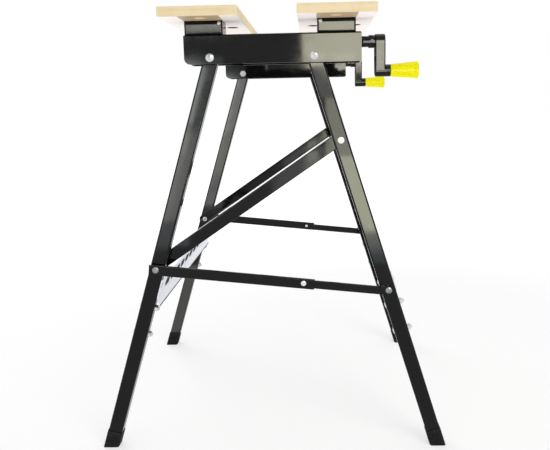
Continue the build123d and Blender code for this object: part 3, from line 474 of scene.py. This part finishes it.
def jaw_wood(scene):
    """Pale wood: grain along the boards, layered ends, painted light on the underside, painted
    shade beside the brackets, and holes dark from end grain and painted shade.
    """
    wood = scene.bench_wood
    low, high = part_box("front_jaw_board")
    finish = Finish("jaw_wood", Specular_IOR_Level=0.35)
    fibre = 1.0 / wood.fibre_width
    layer = 1.0 / wood.layer_height
    broad = finish.stretch((1.6, 0.16 * fibre, 0.10 * layer))
    waves = finish.noise(1.0, 4.0, broad, rough=0.55, twist=0.7)
    lines = finish.noise(1.0, 3.0, finish.stretch((4.5, fibre, 0.4 * layer)), rough=0.6, twist=0.25)
    layers = finish.noise(1.0, 2.0, finish.stretch((2.0, 9.0, layer)))
    pores = finish.noise(1.0, 1.0, finish.stretch((90.0, 1500.0, 1500.0)))
    parts = finish.parts()
    outward = finish.math("ABSOLUTE", parts["X"])
    sawn = finish.ramp(outward, high.x - MM, high.x - 0.1 * MM)
    lines = finish.math("MULTIPLY", lines, finish.ramp(sawn, 0.0, 1.0, 1.0, 0.25))
    layers = finish.math("MULTIPLY", layers, finish.ramp(sawn, 0.0, 1.0, 0.7, 1.15))
    shares = ((waves, 0.7), (lines, 0.6), (layers, 0.6))
    weighed = [finish.math("MULTIPLY", streak, part) for streak, part in shares]
    streaks = finish.math("ADD", *weighed)
    grain = finish.mix(finish.ramp(streaks, 0.66, 1.15), wood.pale, wood.golden)

    def off_middle(*nodes):
        """Distance along the bench from the nearer middle of two nodes."""
        middles = [0.5 * (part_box(node)[0].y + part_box(node)[1].y) for node in nodes]
        from_centre = finish.math("SUBTRACT", parts["Y"], 0.5 * sum(middles))
        half_apart = 0.5 * abs(middles[1] - middles[0])
        off = finish.math("SUBTRACT", finish.math("ABSOLUTE", from_centre), half_apart)
        return finish.math("ABSOLUTE", off)

    under = finish.ramp(parts["Z"], low.z + 0.9 * MM, low.z + 0.1 * MM)
    # Painted light: the undersides turn pale as if strongly lit from below, in soft patches.
    painted_light = finish.ramp(finish.noise(30.0, 3.0), 0.2, 0.9, 0.78, 1.0)
    off_bracket = off_middle("front_bracket_left", "rear_bracket_left")
    # Painted shade: the underside between each bracket and the board end turns dark as if shaded by
    # the bracket.
    seat = finish.math(
        "MULTIPLY", finish.ramp(off_bracket, wood.seat_reach + MM, wood.seat_reach - MM),
        finish.ramp(outward, wood.seat_start, wood.seat_start + MM))
    base = finish.mix(finish.math("MULTIPLY", under, painted_light), grain, wood.sealed)
    base = finish.mix(finish.math("MULTIPLY", seat, under, wood.seat_share), base, wood.bare)
    half_width = 0.5 * (high.y - low.y)
    off_board = off_middle("front_jaw_board", "rear_jaw_board")
    # Partly darker end grain, partly painted shade: the walls inside the holes turn dark, except by
    # the brackets, where they keep the grain.
    inside = finish.math(
        "MULTIPLY", finish.ramp(off_board, half_width - MM, half_width - 2.0 * MM),
        finish.ramp(outward, high.x - MM, high.x - 2.0 * MM),
        finish.ramp(parts["Z"], low.z + 0.2 * MM, low.z + 0.8 * MM),
        finish.ramp(parts["Z"], high.z - 0.2 * MM, high.z - 0.8 * MM),
        finish.ramp(seat, 0.0, 1.0, 1.0, 0.0))
    base = finish.mix(inside, base, wood.drilled)
    fine = finish.math("MULTIPLY", pores, 0.4)
    height = finish.math("ADD", finish.math("MULTIPLY", lines, 0.6), fine)
    roughness = finish.ramp(lines, 0.3, 0.7, wood.rough - 0.06, wood.rough + 0.08)
    return finish.wear(base, roughness, finish.bump(height, 0.00008, 0.6))


def grip_yellow(scene):
    """Yellow moulding: soft flow clouds and a fine grain."""
    plastic = scene.bench_plastic
    finish = Finish("grip_yellow", Specular_IOR_Level=0.08)
    clouds = finish.noise(55.0, 3.0, finish.stretch((1.0, 0.35, 1.0)), rough=0.55, twist=0.8)
    base = finish.mix(finish.ramp(clouds, 0.35, 0.70), plastic.yellow, plastic.yellow_shade)
    scuffs = finish.ramp(finish.noise(240.0, 3.0), 0.45, 0.75)
    roughness = finish.ramp(scuffs, 0.0, 1.0, plastic.grip_rough, plastic.grip_rough + 0.12)
    return finish.wear(base, roughness, finish.bump(finish.noise(1500.0, 2.0), 0.00002, 0.2))


def crank_black(scene):
    """Black moulding with a fine spark grain, rubbed paler in patches."""
    plastic = scene.bench_plastic
    finish = Finish("crank_black", Specular_IOR_Level=0.18)
    rubbed = finish.ramp(finish.noise(70.0, 4.0, rough=0.6), 0.48, 0.74)
    base = finish.mix(rubbed, plastic.crank_black, plastic.crank_grey)
    roughness = finish.ramp(rubbed, 0.0, 1.0, plastic.crank_rough, plastic.crank_rough + 0.08)
    return finish.wear(base, roughness, finish.bump(finish.noise(1700.0, 2.0), 0.000004, 0.6))


def foot_black(scene):
    """Matt black moulding, dusty in patches, with a coarse grain."""
    plastic = scene.bench_plastic
    finish = Finish("foot_black", Specular_IOR_Level=0.14)
    dusty = finish.ramp(finish.noise(120.0, 5.0, rough=0.65), 0.42, 0.72)
    base = finish.mix(dusty, plastic.foot_black, plastic.foot_grey)
    roughness = finish.ramp(dusty, 0.0, 1.0, plastic.foot_rough, plastic.foot_rough + 0.14)
    return finish.wear(base, roughness, finish.bump(finish.noise(900.0, 3.0), 0.00005, 0.6))


def finish_of(make):
    """The finish that a function makes, made when it is first asked for."""
    return bpy.data.materials.get(make.__name__) or make(bpy.context.scene)


def coat(make, *nodes):
    """Give packed nodes the finish that a function makes."""
    for node in nodes:
        mesh = frame["nodes"][node].data
        mesh.materials.clear()
        mesh.materials.append(finish_of(make))


def nodes_in(*slots):
    """Packed nodes of some material slots."""
    return [part["node"] for part in frame["record"]["subparts"] if part["material_slot"] in slots]


# Operators

class BENCH_OT_paint_steel(bpy.types.Operator):
    """Powder-coat the rails, brackets, legs, braces and stretchers"""
    bl_idname = "bench.paint_steel"
    bl_label = "Paint Steel"

    def execute(self, context):
        coat(black_powder_coat, *nodes_in("black_paint"))
        return {"FINISHED"}


class BENCH_OT_plate_fasteners(bpy.types.Operator):
    """Zinc-plate the bolts, nuts, rivets, pins, spindles and cross bars"""
    bl_idname = "bench.plate_fasteners"
    bl_label = "Plate Fasteners"

    def execute(self, context):
        coat(zinc_plate, *nodes_in("zinc_steel"))
        coat(dull_zinc_plate, "rear_hinge_bolts", *(f"crank_pin_{side}" for side in SIDES))
        coat(hinge_zinc, "front_hinge_bolts")
        coat(sheet_zinc, *(f"{end}_cross_bar" for end in LEGS))
        coat(sheet_zinc, *(f"knee_rivet_{side}" for side in SIDES))
        return {"FINISHED"}


class BENCH_OT_sand_boards(bpy.types.Operator):
    """Give the two jaw boards their wood"""
    bl_idname = "bench.sand_boards"
    bl_label = "Sand Boards"

    def execute(self, context):
        coat(jaw_wood, *nodes_in("wood_board"))
        return {"FINISHED"}


class BENCH_OT_mould_plastics(bpy.types.Operator):
    """Give the cranks their glossy moulding, and the feet and the screw bushes their matt one"""
    bl_idname = "bench.mould_plastics"
    bl_label = "Mould Plastics"

    def execute(self, context):
        coat(crank_black, *nodes_in("black_plastic"))
        coat(foot_black, *nodes_in("foot_plastic"))
        return {"FINISHED"}


class BENCH_OT_turn_grips(bpy.types.Operator):
    """Turn the two yellow cone grips"""
    bl_idname = "bench.turn_grips"
    bl_label = "Turn Grips"

    def execute(self, context):
        sizes = context.scene.bench_pieces
        yellow = finish_of(grip_yellow)
        for side in SIDES:
            cone = shell(self.surface(side, sizes), looped=True)
            add_piece(f"cone_grip_{side}", [cone], f"grip_{side}", yellow,
                      replaced=[f"grip_{side}"])
        return {"FINISHED"}

    def surface(self, side, sizes):
        """Cone with a bore, a cup in its large end and a shallow ring.

        The radius grows evenly from the small end to the large end, less a narrow bell curve at
        the ring, plus a low ridge at two opposite angles for the mould seam.
        """
        low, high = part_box(f"grip_{side}")
        span = high.y - low.y
        large = 0.5 * (high.x - low.x)
        small = 0.5 * sizes.grip_neck
        bore = 0.5 * sizes.grip_bore
        cup = 0.5 * sizes.grip_cup
        soft = sizes.grip_round
        bend = np.linspace(0.0, 0.5 * math.pi, 7)
        neck_round = 0.5 * soft
        from_end = sizes.ring_place
        ring_width = 0.11 * from_end
        flank = np.concatenate([
            np.linspace(neck_round, span - 1.6 * from_end, 14),
            np.linspace(span - 1.5 * from_end, span - 0.5 * from_end, 17),
            np.linspace(span - 0.4 * from_end, span - soft, 3),
        ])
        cone = small + (large - small) * flank / (span - soft)
        ring = np.exp(-((flank - span + from_end) / ring_width) ** 2)
        along = np.concatenate([
            [0.0], neck_round * (1.0 - np.cos(bend[:-1])), flank,
            span - soft + soft * np.sin(bend[1:]),
            [span, span - sizes.cup_depth, span - sizes.cup_depth],
        ])
        radius = np.concatenate([
            [bore], small - neck_round * (1.0 - np.sin(bend[:-1])), cone - sizes.ring_depth * ring,
            large - soft * (1.0 - np.cos(bend[1:])), [cup, cup, bore],
        ])
        columns = 96
        seam_width = 0.03
        turn = np.linspace(0.0, TURN, columns, endpoint=False)
        seam = sizes.seam_height * np.exp(-(np.sin(turn) / seam_width) ** 2)
        outside = (radius > small - 0.5 * neck_round) & (along < span - soft)
        radius = radius[:, None] + outside[:, None] * seam[None, :]
        start = (0.5 * (low.x + high.x), high.y, 0.5 * (low.z + high.z))
        return turned(start, (0.0, -1.0, 0.0), along, radius, columns)


class BENCH_OT_cut_lead_screws(bpy.types.Operator):
    """Cut the threads of the two lead screws"""
    bl_idname = "bench.cut_lead_screws"
    bl_label = "Cut Lead Screws"

    def execute(self, context):
        sizes = context.scene.bench_pieces
        steel = finish_of(greased_screw)
        for side in SIDES:
            grid, groove = self.surface(side, sizes)
            piece = add_piece(
                f"threaded_screw_{side}", [shell(grid)], f"crank_{side}", steel,
                replaced=[f"lead_screw_{side}"], sharp_degrees=60.0)
            depth = piece.data.attributes.new("groove", "FLOAT", "POINT")
            depth.data.foreach_set("value", groove.ravel())
        return {"FINISHED"}

    def surface(self, side, sizes):
        """Right-hand thread between two plain ends, with a chamfer at the rear end.

        The radius is the crest less the thread's depth times a clipped cosine of the turn less the
        way along, counted in leads. The depth fades to nothing over one lead at each plain end.
        """
        low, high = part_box(f"lead_screw_{side}")
        crest = 0.5 * (high.x - low.x)
        rows_in_lead, columns, steepness = 12.0, 24, 1.9
        rows = int((high.y - low.y) / (sizes.screw_lead / rows_in_lead)) + 1
        along = np.linspace(0.0, high.y - low.y, rows)
        turn = np.linspace(0.0, TURN, columns, endpoint=False)
        phase = TURN * along[:, None] / sizes.screw_lead - turn[None, :]
        shape = 0.5 - 0.5 * np.clip(steepness * np.cos(phase), -1.0, 1.0)
        front = np.clip((along - sizes.plain_front) / sizes.screw_lead, 0.0, 1.0)
        rear = np.clip((along[-1] - sizes.plain_rear - along) / sizes.screw_lead, 0.0, 1.0)
        groove = shape * (front * rear)[:, None]
        chamfer = np.clip(MM - (along[-1] - along), 0.0, MM)
        radius = crest - sizes.thread_depth * groove - chamfer[:, None]
        start = (0.5 * (low.x + high.x), low.y, 0.5 * (low.z + high.z))
        return turned(start, (0.0, 1.0, 0.0), along, radius, columns), groove


class BENCH_OT_cut_bolt_threads(bpy.types.Operator):
    """Cut the threads on the bolt tips that stand out of the nuts on the legs"""
    bl_idname = "bench.cut_bolt_threads"
    bl_label = "Cut Bolt Threads"

    def execute(self, context):
        sizes = context.scene.bench_pieces
        zinc = finish_of(zinc_plate)
        for end in LEGS:
            _, forward = leg_axes(end)
            shells = []
            for side in SIDES:
                for step in range(2):
                    along = sizes.first_bolt + step * sizes.bolt_pitch
                    middle = leg_point(end, side_place(side), along)
                    ridge = self.ridge(middle, forward, sizes.tip_start, sizes.tip_end)
                    shells.append(shell(ridge))
            add_piece(f"{end}_bolt_threads", shells, f"{end}_legs", zinc)
        return {"FINISHED"}

    def ridge(self, middle, axis, start, end, radius=0.003, pitch=0.001, height=0.00022):
        """Pointed ridge carried along a right-hand helix round the bolt.

        The helix goes round once for each pitch along the axis. The ridge's profile is a low
        triangle, sunk into the bolt, which shrinks to nothing at both ends of the helix.
        """
        samples_in_turn, sunk, foot = 20, 0.1 * MM, 0.42 * pitch
        turns = (end - start - pitch) / pitch
        way = np.linspace(0.0, 1.0, int(samples_in_turn * turns) + 1)
        turn = TURN * turns * way
        first, second = around(axis)
        out = np.cos(turn)[:, None] * first + np.sin(turn)[:, None] * second
        lift = start + 0.5 * pitch + (end - start - pitch) * way
        fade = np.clip(np.minimum(way, 1.0 - way) * turns * 4.0, 0.05, 1.0)
        path = middle + lift[:, None] * axis + (radius - sunk) * out
        profile = np.array([[0.0, -foot], [height, 0.0], [0.0, foot], [-2.0 * sunk, 0.0]])
        return carried(path, out * fade[:, None], axis * fade[:, None], profile)


class BENCH_OT_set_rivet_caps(bpy.types.Operator):
    """Set the zinc rivet heads on the bracket sides and on the stretcher knees"""
    bl_idname = "bench.set_rivet_caps"
    bl_label = "Set Rivet Caps"

    def execute(self, context):
        zinc = finish_of(zinc_plate)
        bracket_half, inset, drop, sunk = 20.0 * MM, 5.5 * MM, 4.5 * MM, 0.3 * MM
        rivet_radius, rivet_height = 3.1 * MM, 1.6 * MM
        tail_share, tail_height, tail_sunk = 0.46, 0.55 * MM, 0.4 * MM
        for side, outward in SIDES.items():
            for end, body, lean in (("front", "frame", 1.0), ("rear", "rear_jaw", -1.0)):
                low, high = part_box(f"{end}_bracket_{side}")
                inner = high.y if lean > 0 else low.y
                face = side_place(side) + outward * bracket_half
                start = (face - outward * sunk, inner - lean * inset, high.z - drop)
                cap = shell(self.dome(start, outward, rivet_radius, rivet_height))
                add_piece(f"{end}_bracket_rivet_{side}", [cap], body, zinc)
            low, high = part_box(f"knee_rivet_{side}")
            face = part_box(f"front_stretcher_{side}")[0 if outward > 0 else 1].x
            start = (face + outward * tail_sunk, 0.5 * (low.y + high.y), 0.5 * (low.z + high.z))
            cap = shell(self.dome(start, -outward, tail_share * (high.z - low.z), tail_height))
            add_piece(
                f"knee_rivet_tail_{side}", [cap], f"front_stretcher_{side}", zinc)
        return {"FINISHED"}

    def dome(self, start, direction, radius, height):
        """Low dome: a short straight rim, then a radius that falls as the root of what is left."""
        rim, rows, columns = 0.25, 9, 32
        rise = np.sin(np.linspace(0.0, 0.49 * math.pi, rows))
        along = np.concatenate([[0.0], height * (rim + (1.0 - rim) * rise)])
        size = np.concatenate([[radius], radius * np.sqrt(1.0 - rise ** 2)])
        return turned(start, direction * ACROSS, along, size, columns)


class BENCH_OT_trim_cross_bars(bpy.types.Operator):
    """Plug the slots of the two cross bars and lay a dark bead along the rear bar's lip as painted
    shadow
    """
    bl_idname = "bench.trim_cross_bars"
    bl_label = "Trim Cross Bars"

    def execute(self, context):
        sizes = context.scene.bench_pieces
        matt = finish_of(foot_black)
        places = (np.arange(sizes.slot_count) - 0.5 * (sizes.slot_count - 1)) * sizes.slot_pitch
        for end in LEGS:
            plugs = [shell(self.plug(end, middle, sizes)) for middle in places]
            add_piece(f"{end}_bar_plugs", plugs, f"{end}_legs", matt)
        # Painted shadow: a matt black bead along the lip's lower edge stands in for its shade.
        edging = shell(self.edging(sizes))
        add_piece("rear_bar_shadow_bead", [edging], "rear_legs", matt)
        return {"FINISHED"}

    def plug(self, end, middle, sizes):
        """Slot's outline carried through the sheet, then the outline of a cap that lies over it.

        Each outline is a circle cut in half, with its halves drawn apart along the bar. The
        cap's outer edge is drawn in by half of its thickness.
        """
        down, forward = leg_axes(end)
        half = np.linspace(-0.5 * math.pi, 0.5 * math.pi, 13)
        turn = np.concatenate([half, half + math.pi])
        out = np.cos(turn)[:, None] * ACROSS + np.sin(turn)[:, None] * down
        slot = 0.5 * sizes.slot_height - sizes.plug_gap
        cap = 0.5 * sizes.cap_height
        lengths = np.array([sizes.slot_length, sizes.cap_length])
        straight = 0.5 * (lengths - [sizes.slot_height, sizes.cap_height])
        spread = straight[[0, 0, 1, 1, 1], None] * np.repeat([1.0, -1.0], len(half))
        radius = np.array([slot, slot, cap, cap, cap - 0.5 * sizes.cap_lift])
        lift = np.array([-sizes.bar_sheet, 0.0, 0.0, 0.5 * sizes.cap_lift, sizes.cap_lift])
        lift = (sizes.bar_face + lift)[:, None, None] * forward
        rings = spread[:, :, None] * ACROSS + lift + radius[:, None, None] * out
        return leg_point(end, middle, sizes.slot_along) + rings

    def edging(self, sizes):
        """Round matt black bead carried along the lower edge of the rear bar's lip, standing in for
        the shadow there.
        """
        down, forward = leg_axes("rear")
        middle = leg_point("rear", 0.0, sizes.edging_along) + sizes.edging_face * forward
        rows, columns = 18, 14
        spin = np.linspace(0.0, TURN, columns, endpoint=False)
        profile = 0.5 * sizes.edging_width * np.stack([np.cos(spin), np.sin(spin)], axis=1)
        way = np.linspace(-0.5, 0.5, rows) * sizes.edging_length
        path = middle + way[:, None] * ACROSS
        return carried(path, np.tile(forward, (rows, 1)), np.tile(down, (rows, 1)), profile)


# Lamps. Boxes and fills: name, centre, target, size, radiance, hue

SOFT_BOXES = (
    ("key_box", (-1.9, -1.3, 1.9), (0.0, 0.0, 0.5), (1.4, 1.4), 3.8, (1.0, 0.985, 0.96)),
    ("top_box", (0.2, 0.1, 2.6), (0.0, 0.0, 0.0), (2.2, 2.2), 1.0, (1.0, 1.0, 1.0)),
    ("back_box", (1.8, 1.3, 1.5), (0.0, 0.0, 0.5), (1.5, 1.5), 3.0, (0.97, 0.985, 1.0)),
)
FILLS = (
    ("floor_box", (-0.2, 0.0, 0.02), (-0.2, 0.0, 1.0), (3.0, 3.0), 0.6, (1.0, 0.98, 0.98)),
    ("low_box", (-1.6, -0.1, 0.35), (0.0, 0.0, 0.55), (2.0, 0.6), 0.35, (1.0, 1.0, 1.0)),
)
BOARD_FILL = (
    "under_box", (-0.4, -0.1, 0.02), (-0.4, -0.1, 1.0), (2.4, 2.4), 1.4, (1.0, 0.98, 1.0))
FAR_LEG_HUE = (1.0, 0.99, 0.93)
LYING_CARD = (
    "far_leg_card_d", (-0.2, 0.33, 0.005), (-0.2, 0.33, 1.0), (0.7, 0.7), 3.8, FAR_LEG_HUE)

# Upright cards: name, places along the bench, heights, place across, radiance, hue

CARDS = (
    ("rail_card", (-0.60, -0.035), (0.81, 1.06), -2.24, 25.7, (1.0, 0.97, 0.74)),
    ("rear_bracket_card", (0.33, 0.60), (0.985, 1.09), -2.24, 12.8, (1.0, 1.0, 0.88)),
    ("crank_card", (-0.52, -0.33), (0.58, 0.81), -2.24, 27.5, (1.0, 0.97, 0.77)),
    ("front_leg_card_a", (-0.24, -0.08), (0.64, 0.80), -1.5, 4.2, (1.0, 1.0, 0.94)),
    ("front_leg_card_b", (-0.30, -0.13), (0.42, 0.64), -1.5, 11.1, (1.0, 1.0, 0.80)),
    ("front_leg_card_c", (-0.37, -0.14), (0.125, 0.42), -1.5, 22.2, (1.0, 1.0, 0.75)),
    ("front_leg_card_d", (-0.42, -0.20), (0.05, 0.125), -1.5, 5.6, (0.95, 1.0, 0.95)),
    ("front_leg_card_e", (-0.45, -0.22), (0.0, 0.05), -1.5, 1.8, (0.75, 1.0, 1.0)),
    ("brace_card_a", (-0.13, 0.08), (0.26, 0.46), -1.49, 2.5, (0.97, 1.0, 0.97)),
    ("brace_card_b", (-0.10, -0.055), (0.36, 0.44), -1.475, 8.0, (0.96, 1.0, 0.85)),
    ("rear_leg_card_a", (0.25, 0.45), (0.52, 0.80), -1.5, 1.9, (0.9, 1.0, 1.0)),
    ("rear_leg_card_b", (0.352, 0.62), (0.18, 0.52), -1.5, 5.6, (1.0, 1.0, 0.93)),
    ("rear_leg_card_c", (0.42, 0.64), (0.07, 0.18), -1.5, 2.5, (0.9, 0.95, 1.0)),
)
FAR_LEG_CARDS = (
    ("far_leg_card_a", (0.17, 0.57), (0.50, 0.80), -1.45, 7.0, FAR_LEG_HUE),
    ("far_leg_card_b", (0.20, 0.60), (0.26, 0.50), -1.44, 2.3, FAR_LEG_HUE),
    ("far_leg_card_c", (0.24, 0.64), (0.10, 0.18), -1.43, 4.3, FAR_LEG_HUE),
)
GRIP_CARD = ("grip_card", (-0.35, 0.05), (0.35, 0.65), -1.5, 80.0, (1.0, 0.95, 0.45))

# Leaning cards: name, lower end, place across, radiance

LEANING_CARDS = (
    ("rear_leg_card_d", 0.18, -1.48, 4.0),
    ("rear_leg_card_e", 0.44, -1.47, 3.5),
    ("rear_leg_card_f", 0.56, -1.46, 4.0),
)


class BENCH_OT_set_stage(bpy.types.Operator):
    """Set the floor, the lamps, the white surround and the camera"""
    bl_idname = "bench.set_stage"
    bl_label = "Set Stage"

    def execute(self, context):
        scene = context.scene
        stage = scene.bench_stage
        scene.view_settings.view_transform = "Standard"
        self.lay_floor(stage)
        self.light_world(scene, stage)
        self.hang_lamps()
        self.place_camera(scene, stage)
        return {"FINISHED"}

    def seen_rays(self, tree):
        """1 for camera, glossy and transmission rays, else 0."""
        path = add_node(tree, "LightPath", {}).outputs
        kinds = ("Camera", "Glossy", "Transmission")
        return chain(tree, "MAXIMUM", *(path[f"Is {kind} Ray"] for kind in kinds))

    def lay_floor(self, stage):
        """Flat pale floor just under the feet, plain white where it is far from them."""
        reach, depth = 8.0, -0.2 * MM
        fade_from, fade_to = 0.9, 3.0
        corners = [(x * reach, y * reach, depth) for x, y in ((-1, -1), (1, -1), (1, 1), (-1, 1))]
        mesh = bpy.data.meshes.new("floor")
        mesh.from_pydata(corners, [], [[0, 1, 2, 3]])
        floor = add_object("floor", mesh)
        material = bpy.data.materials.new("floor_white")
        material.use_nodes = True
        tree = material.node_tree
        tree.nodes.clear()
        grey = add_node(tree, "BsdfDiffuse", {"Color": tint([stage.floor_grey] * 3)}).outputs[0]
        place = add_node(tree, "TexCoord", {}).outputs["Object"]
        far = add_node(tree, "VectorMath", {0: place}, operation="LENGTH").outputs["Value"]
        fade = {"Value": far, "From Min": fade_from, "From Max": fade_to,
                "To Min": stage.floor_white}
        level = add_node(tree, "MapRange", fade).outputs["Result"]
        white = add_node(tree, "Emission", {"Strength": level}).outputs[0]
        shown = add_node(tree, "AddShader", {0: grey, 1: white}).outputs[0]
        bounce = add_node(tree, "BsdfDiffuse", {"Color": tint([stage.floor_bounce] * 3)}).outputs[0]
        mixed = {0: self.seen_rays(tree), 1: bounce, 2: shown}
        surface = add_node(tree, "MixShader", mixed).outputs[0]
        add_node(tree, "OutputMaterial", {"Surface": surface})
        mesh.materials.append(material)

    def light_world(self, scene, stage):
        """White surround where it is seen, softer ambient light elsewhere."""
        world = bpy.data.worlds.new("studio")
        world.use_nodes = True
        tree = world.node_tree
        background = tree.nodes["Background"].inputs
        feed(tree, background["Color"], tint([1.0] * 3))
        inputs = {"Value": self.seen_rays(tree), "To Min": stage.ambient}
        feed(tree, background["Strength"], add_node(tree, "MapRange", inputs).outputs["Result"])
        scene.world = world

    def hang_lamps(self):
        """Soft boxes at a plain level, cards that only show in gloss, and fills that never do."""
        black = self.group("glossy_black", nodes_in("black_paint", "black_plastic"))
        far_leg = self.group("far_rear_leg", ["rear_leg_upper_right", "rear_leg_lower_right"])
        grips = self.group("yellow_grips", [f"cone_grip_{side}" for side in SIDES])
        for box in SOFT_BOXES:
            self.hang(*box)
        for card in CARDS:
            self.keep_to_gloss(black, self.hang_upright(*card))
        for card in LEANING_CARDS:
            self.keep_to_gloss(black, self.hang_leaning(*card))
        for card in FAR_LEG_CARDS:
            self.keep_to_gloss(far_leg, self.hang_upright(*card))
        self.keep_to_gloss(far_leg, self.hang(*LYING_CARD))
        self.keep_to_gloss(grips, self.hang_upright(*GRIP_CARD))
        for fill in FILLS:
            self.hang(*fill).visible_glossy = False
        under = self.hang(*BOARD_FILL)
        under.visible_glossy = False
        under.data.use_shadow = False
        under.light_linking.receiver_collection = self.group("pale_boards", nodes_in("wood_board"))

    def group(self, name, pieces):
        """Collection of packed nodes and new pieces, for a lamp that lights only them."""
        lit = bpy.data.collections.new(name)
        for piece in pieces:
            lit.objects.link(frame["nodes"].get(piece) or bpy.data.objects[piece])
        return lit

    def keep_to_gloss(self, lit, card):
        """Let a card show only in the gloss of some pieces."""
        card.visible_diffuse = False
        card.light_linking.receiver_collection = lit

    def hang_upright(self, name, reach, rise, back, radiance, hue):
        """Card that faces the bench, between two places along it and two heights."""
        centre = (back, 0.5 * sum(reach), 0.5 * sum(rise))
        size = (reach[1] - reach[0], rise[1] - rise[0])
        return self.hang(name, centre, (0.0, *centre[1:]), size, radiance, hue)

    def hang_leaning(self, name, low, back, radiance):
        """Card that leans as the rear legs do, from a height to a common top, beside an edge."""
        lean = bpy.context.scene.bench_pieces.leg_tilt
        top, edge, width, hue = 0.762, 0.308, 0.12, (0.97, 1.0, 0.92)
        tall = top - low
        along = edge + 0.5 * tall * math.tan(lean) + 0.5 * width * math.cos(lean)
        height = top - 0.5 * tall + 0.5 * width * math.sin(lean)
        size = (width, tall / math.cos(lean))
        centre, target = (back, along, height), (0.0, along, height)
        return self.hang(name, centre, target, size, radiance, hue, roll=-lean)

    def hang(self, name, centre, target, size, radiance, hue, roll=0.0):
        """Flat lamp of a given radiance, facing a point, rolled about its own direction."""
        lamp = bpy.data.lights.new(name, "AREA")
        lamp.shape = "RECTANGLE"
        lamp.size, lamp.size_y = size
        lamp.energy = radiance * math.pi * size[0] * size[1]
        lamp.color = hue
        hung = add_object(name, lamp)
        hung.location = centre
        facing = (Vector(target) - Vector(centre)).to_track_quat("-Z", "Y")
        hung.rotation_euler = (facing @ Quaternion((0.0, 0.0, 1.0), roll)).to_euler()
        hung.visible_camera = False
        return hung

    def place_camera(self, scene, stage):
        """Camera at the picture's place, turned by yaw, pitch and roll."""
        quarter = 0.5 * math.pi
        heading = Matrix.Rotation(-quarter - stage.yaw, 4, "Z")
        tilt = Matrix.Rotation(quarter - stage.pitch, 4, "X")
        roll = Matrix.Rotation(-stage.roll, 4, "Z")
        lens = bpy.data.cameras.new("camera")
        lens.lens = stage.focal / MM
        lens.shift_x = stage.shift_across
        lens.shift_y = stage.shift_up
        camera = add_object("camera", lens)
        camera.matrix_world = Matrix.Translation(stage.eye) @ heading @ tilt @ roll
        scene.camera = camera


OPERATORS = (
    BENCH_OT_paint_steel,
    BENCH_OT_plate_fasteners,
    BENCH_OT_sand_boards,
    BENCH_OT_mould_plastics,
    BENCH_OT_turn_grips,
    BENCH_OT_cut_lead_screws,
    BENCH_OT_cut_bolt_threads,
    BENCH_OT_set_rivet_caps,
    BENCH_OT_trim_cross_bars,
    BENCH_OT_set_stage,
)
SETTINGS = {
    "bench_paint": PaintSettings,
    "bench_wood": WoodSettings,
    "bench_metal": MetalSettings,
    "bench_plastic": PlasticSettings,
    "bench_pieces": PieceSettings,
    "bench_stage": StageSettings,
}


class BENCH_PT_workbench(bpy.types.Panel):
    """Lists the workbench's settings and operators"""
    bl_idname = "BENCH_PT_workbench"
    bl_label = "Folding Workbench"
    bl_space_type = "VIEW_3D"
    bl_region_type = "UI"
    bl_category = "Workbench"

    def draw(self, context):
        for key, group in SETTINGS.items():
            box = self.layout.box()
            box.label(text=group.__doc__)
            for name in group.__annotations__:
                box.prop(getattr(context.scene, key), name)
        for operator in OPERATORS:
            self.layout.operator(operator.bl_idname)


CLASSES = (*SETTINGS.values(), *OPERATORS, BENCH_PT_workbench)


def register():
    """Register the classes and hang the settings on the scene."""
    for kind in CLASSES:
        bpy.utils.register_class(kind)
    for key, group in SETTINGS.items():
        setattr(bpy.types.Scene, key, bpy.props.PointerProperty(type=group))


def unregister():
    """Undo register."""
    for key in SETTINGS:
        delattr(bpy.types.Scene, key)
    for kind in reversed(CLASSES):
        bpy.utils.unregister_class(kind)


def main():
    """Register and run every operator in order."""
    register()
    for operator in OPERATORS:
        group, name = operator.bl_idname.split(".")
        getattr(getattr(bpy.ops, group), name)()


if __name__ == "__main__":
    main()
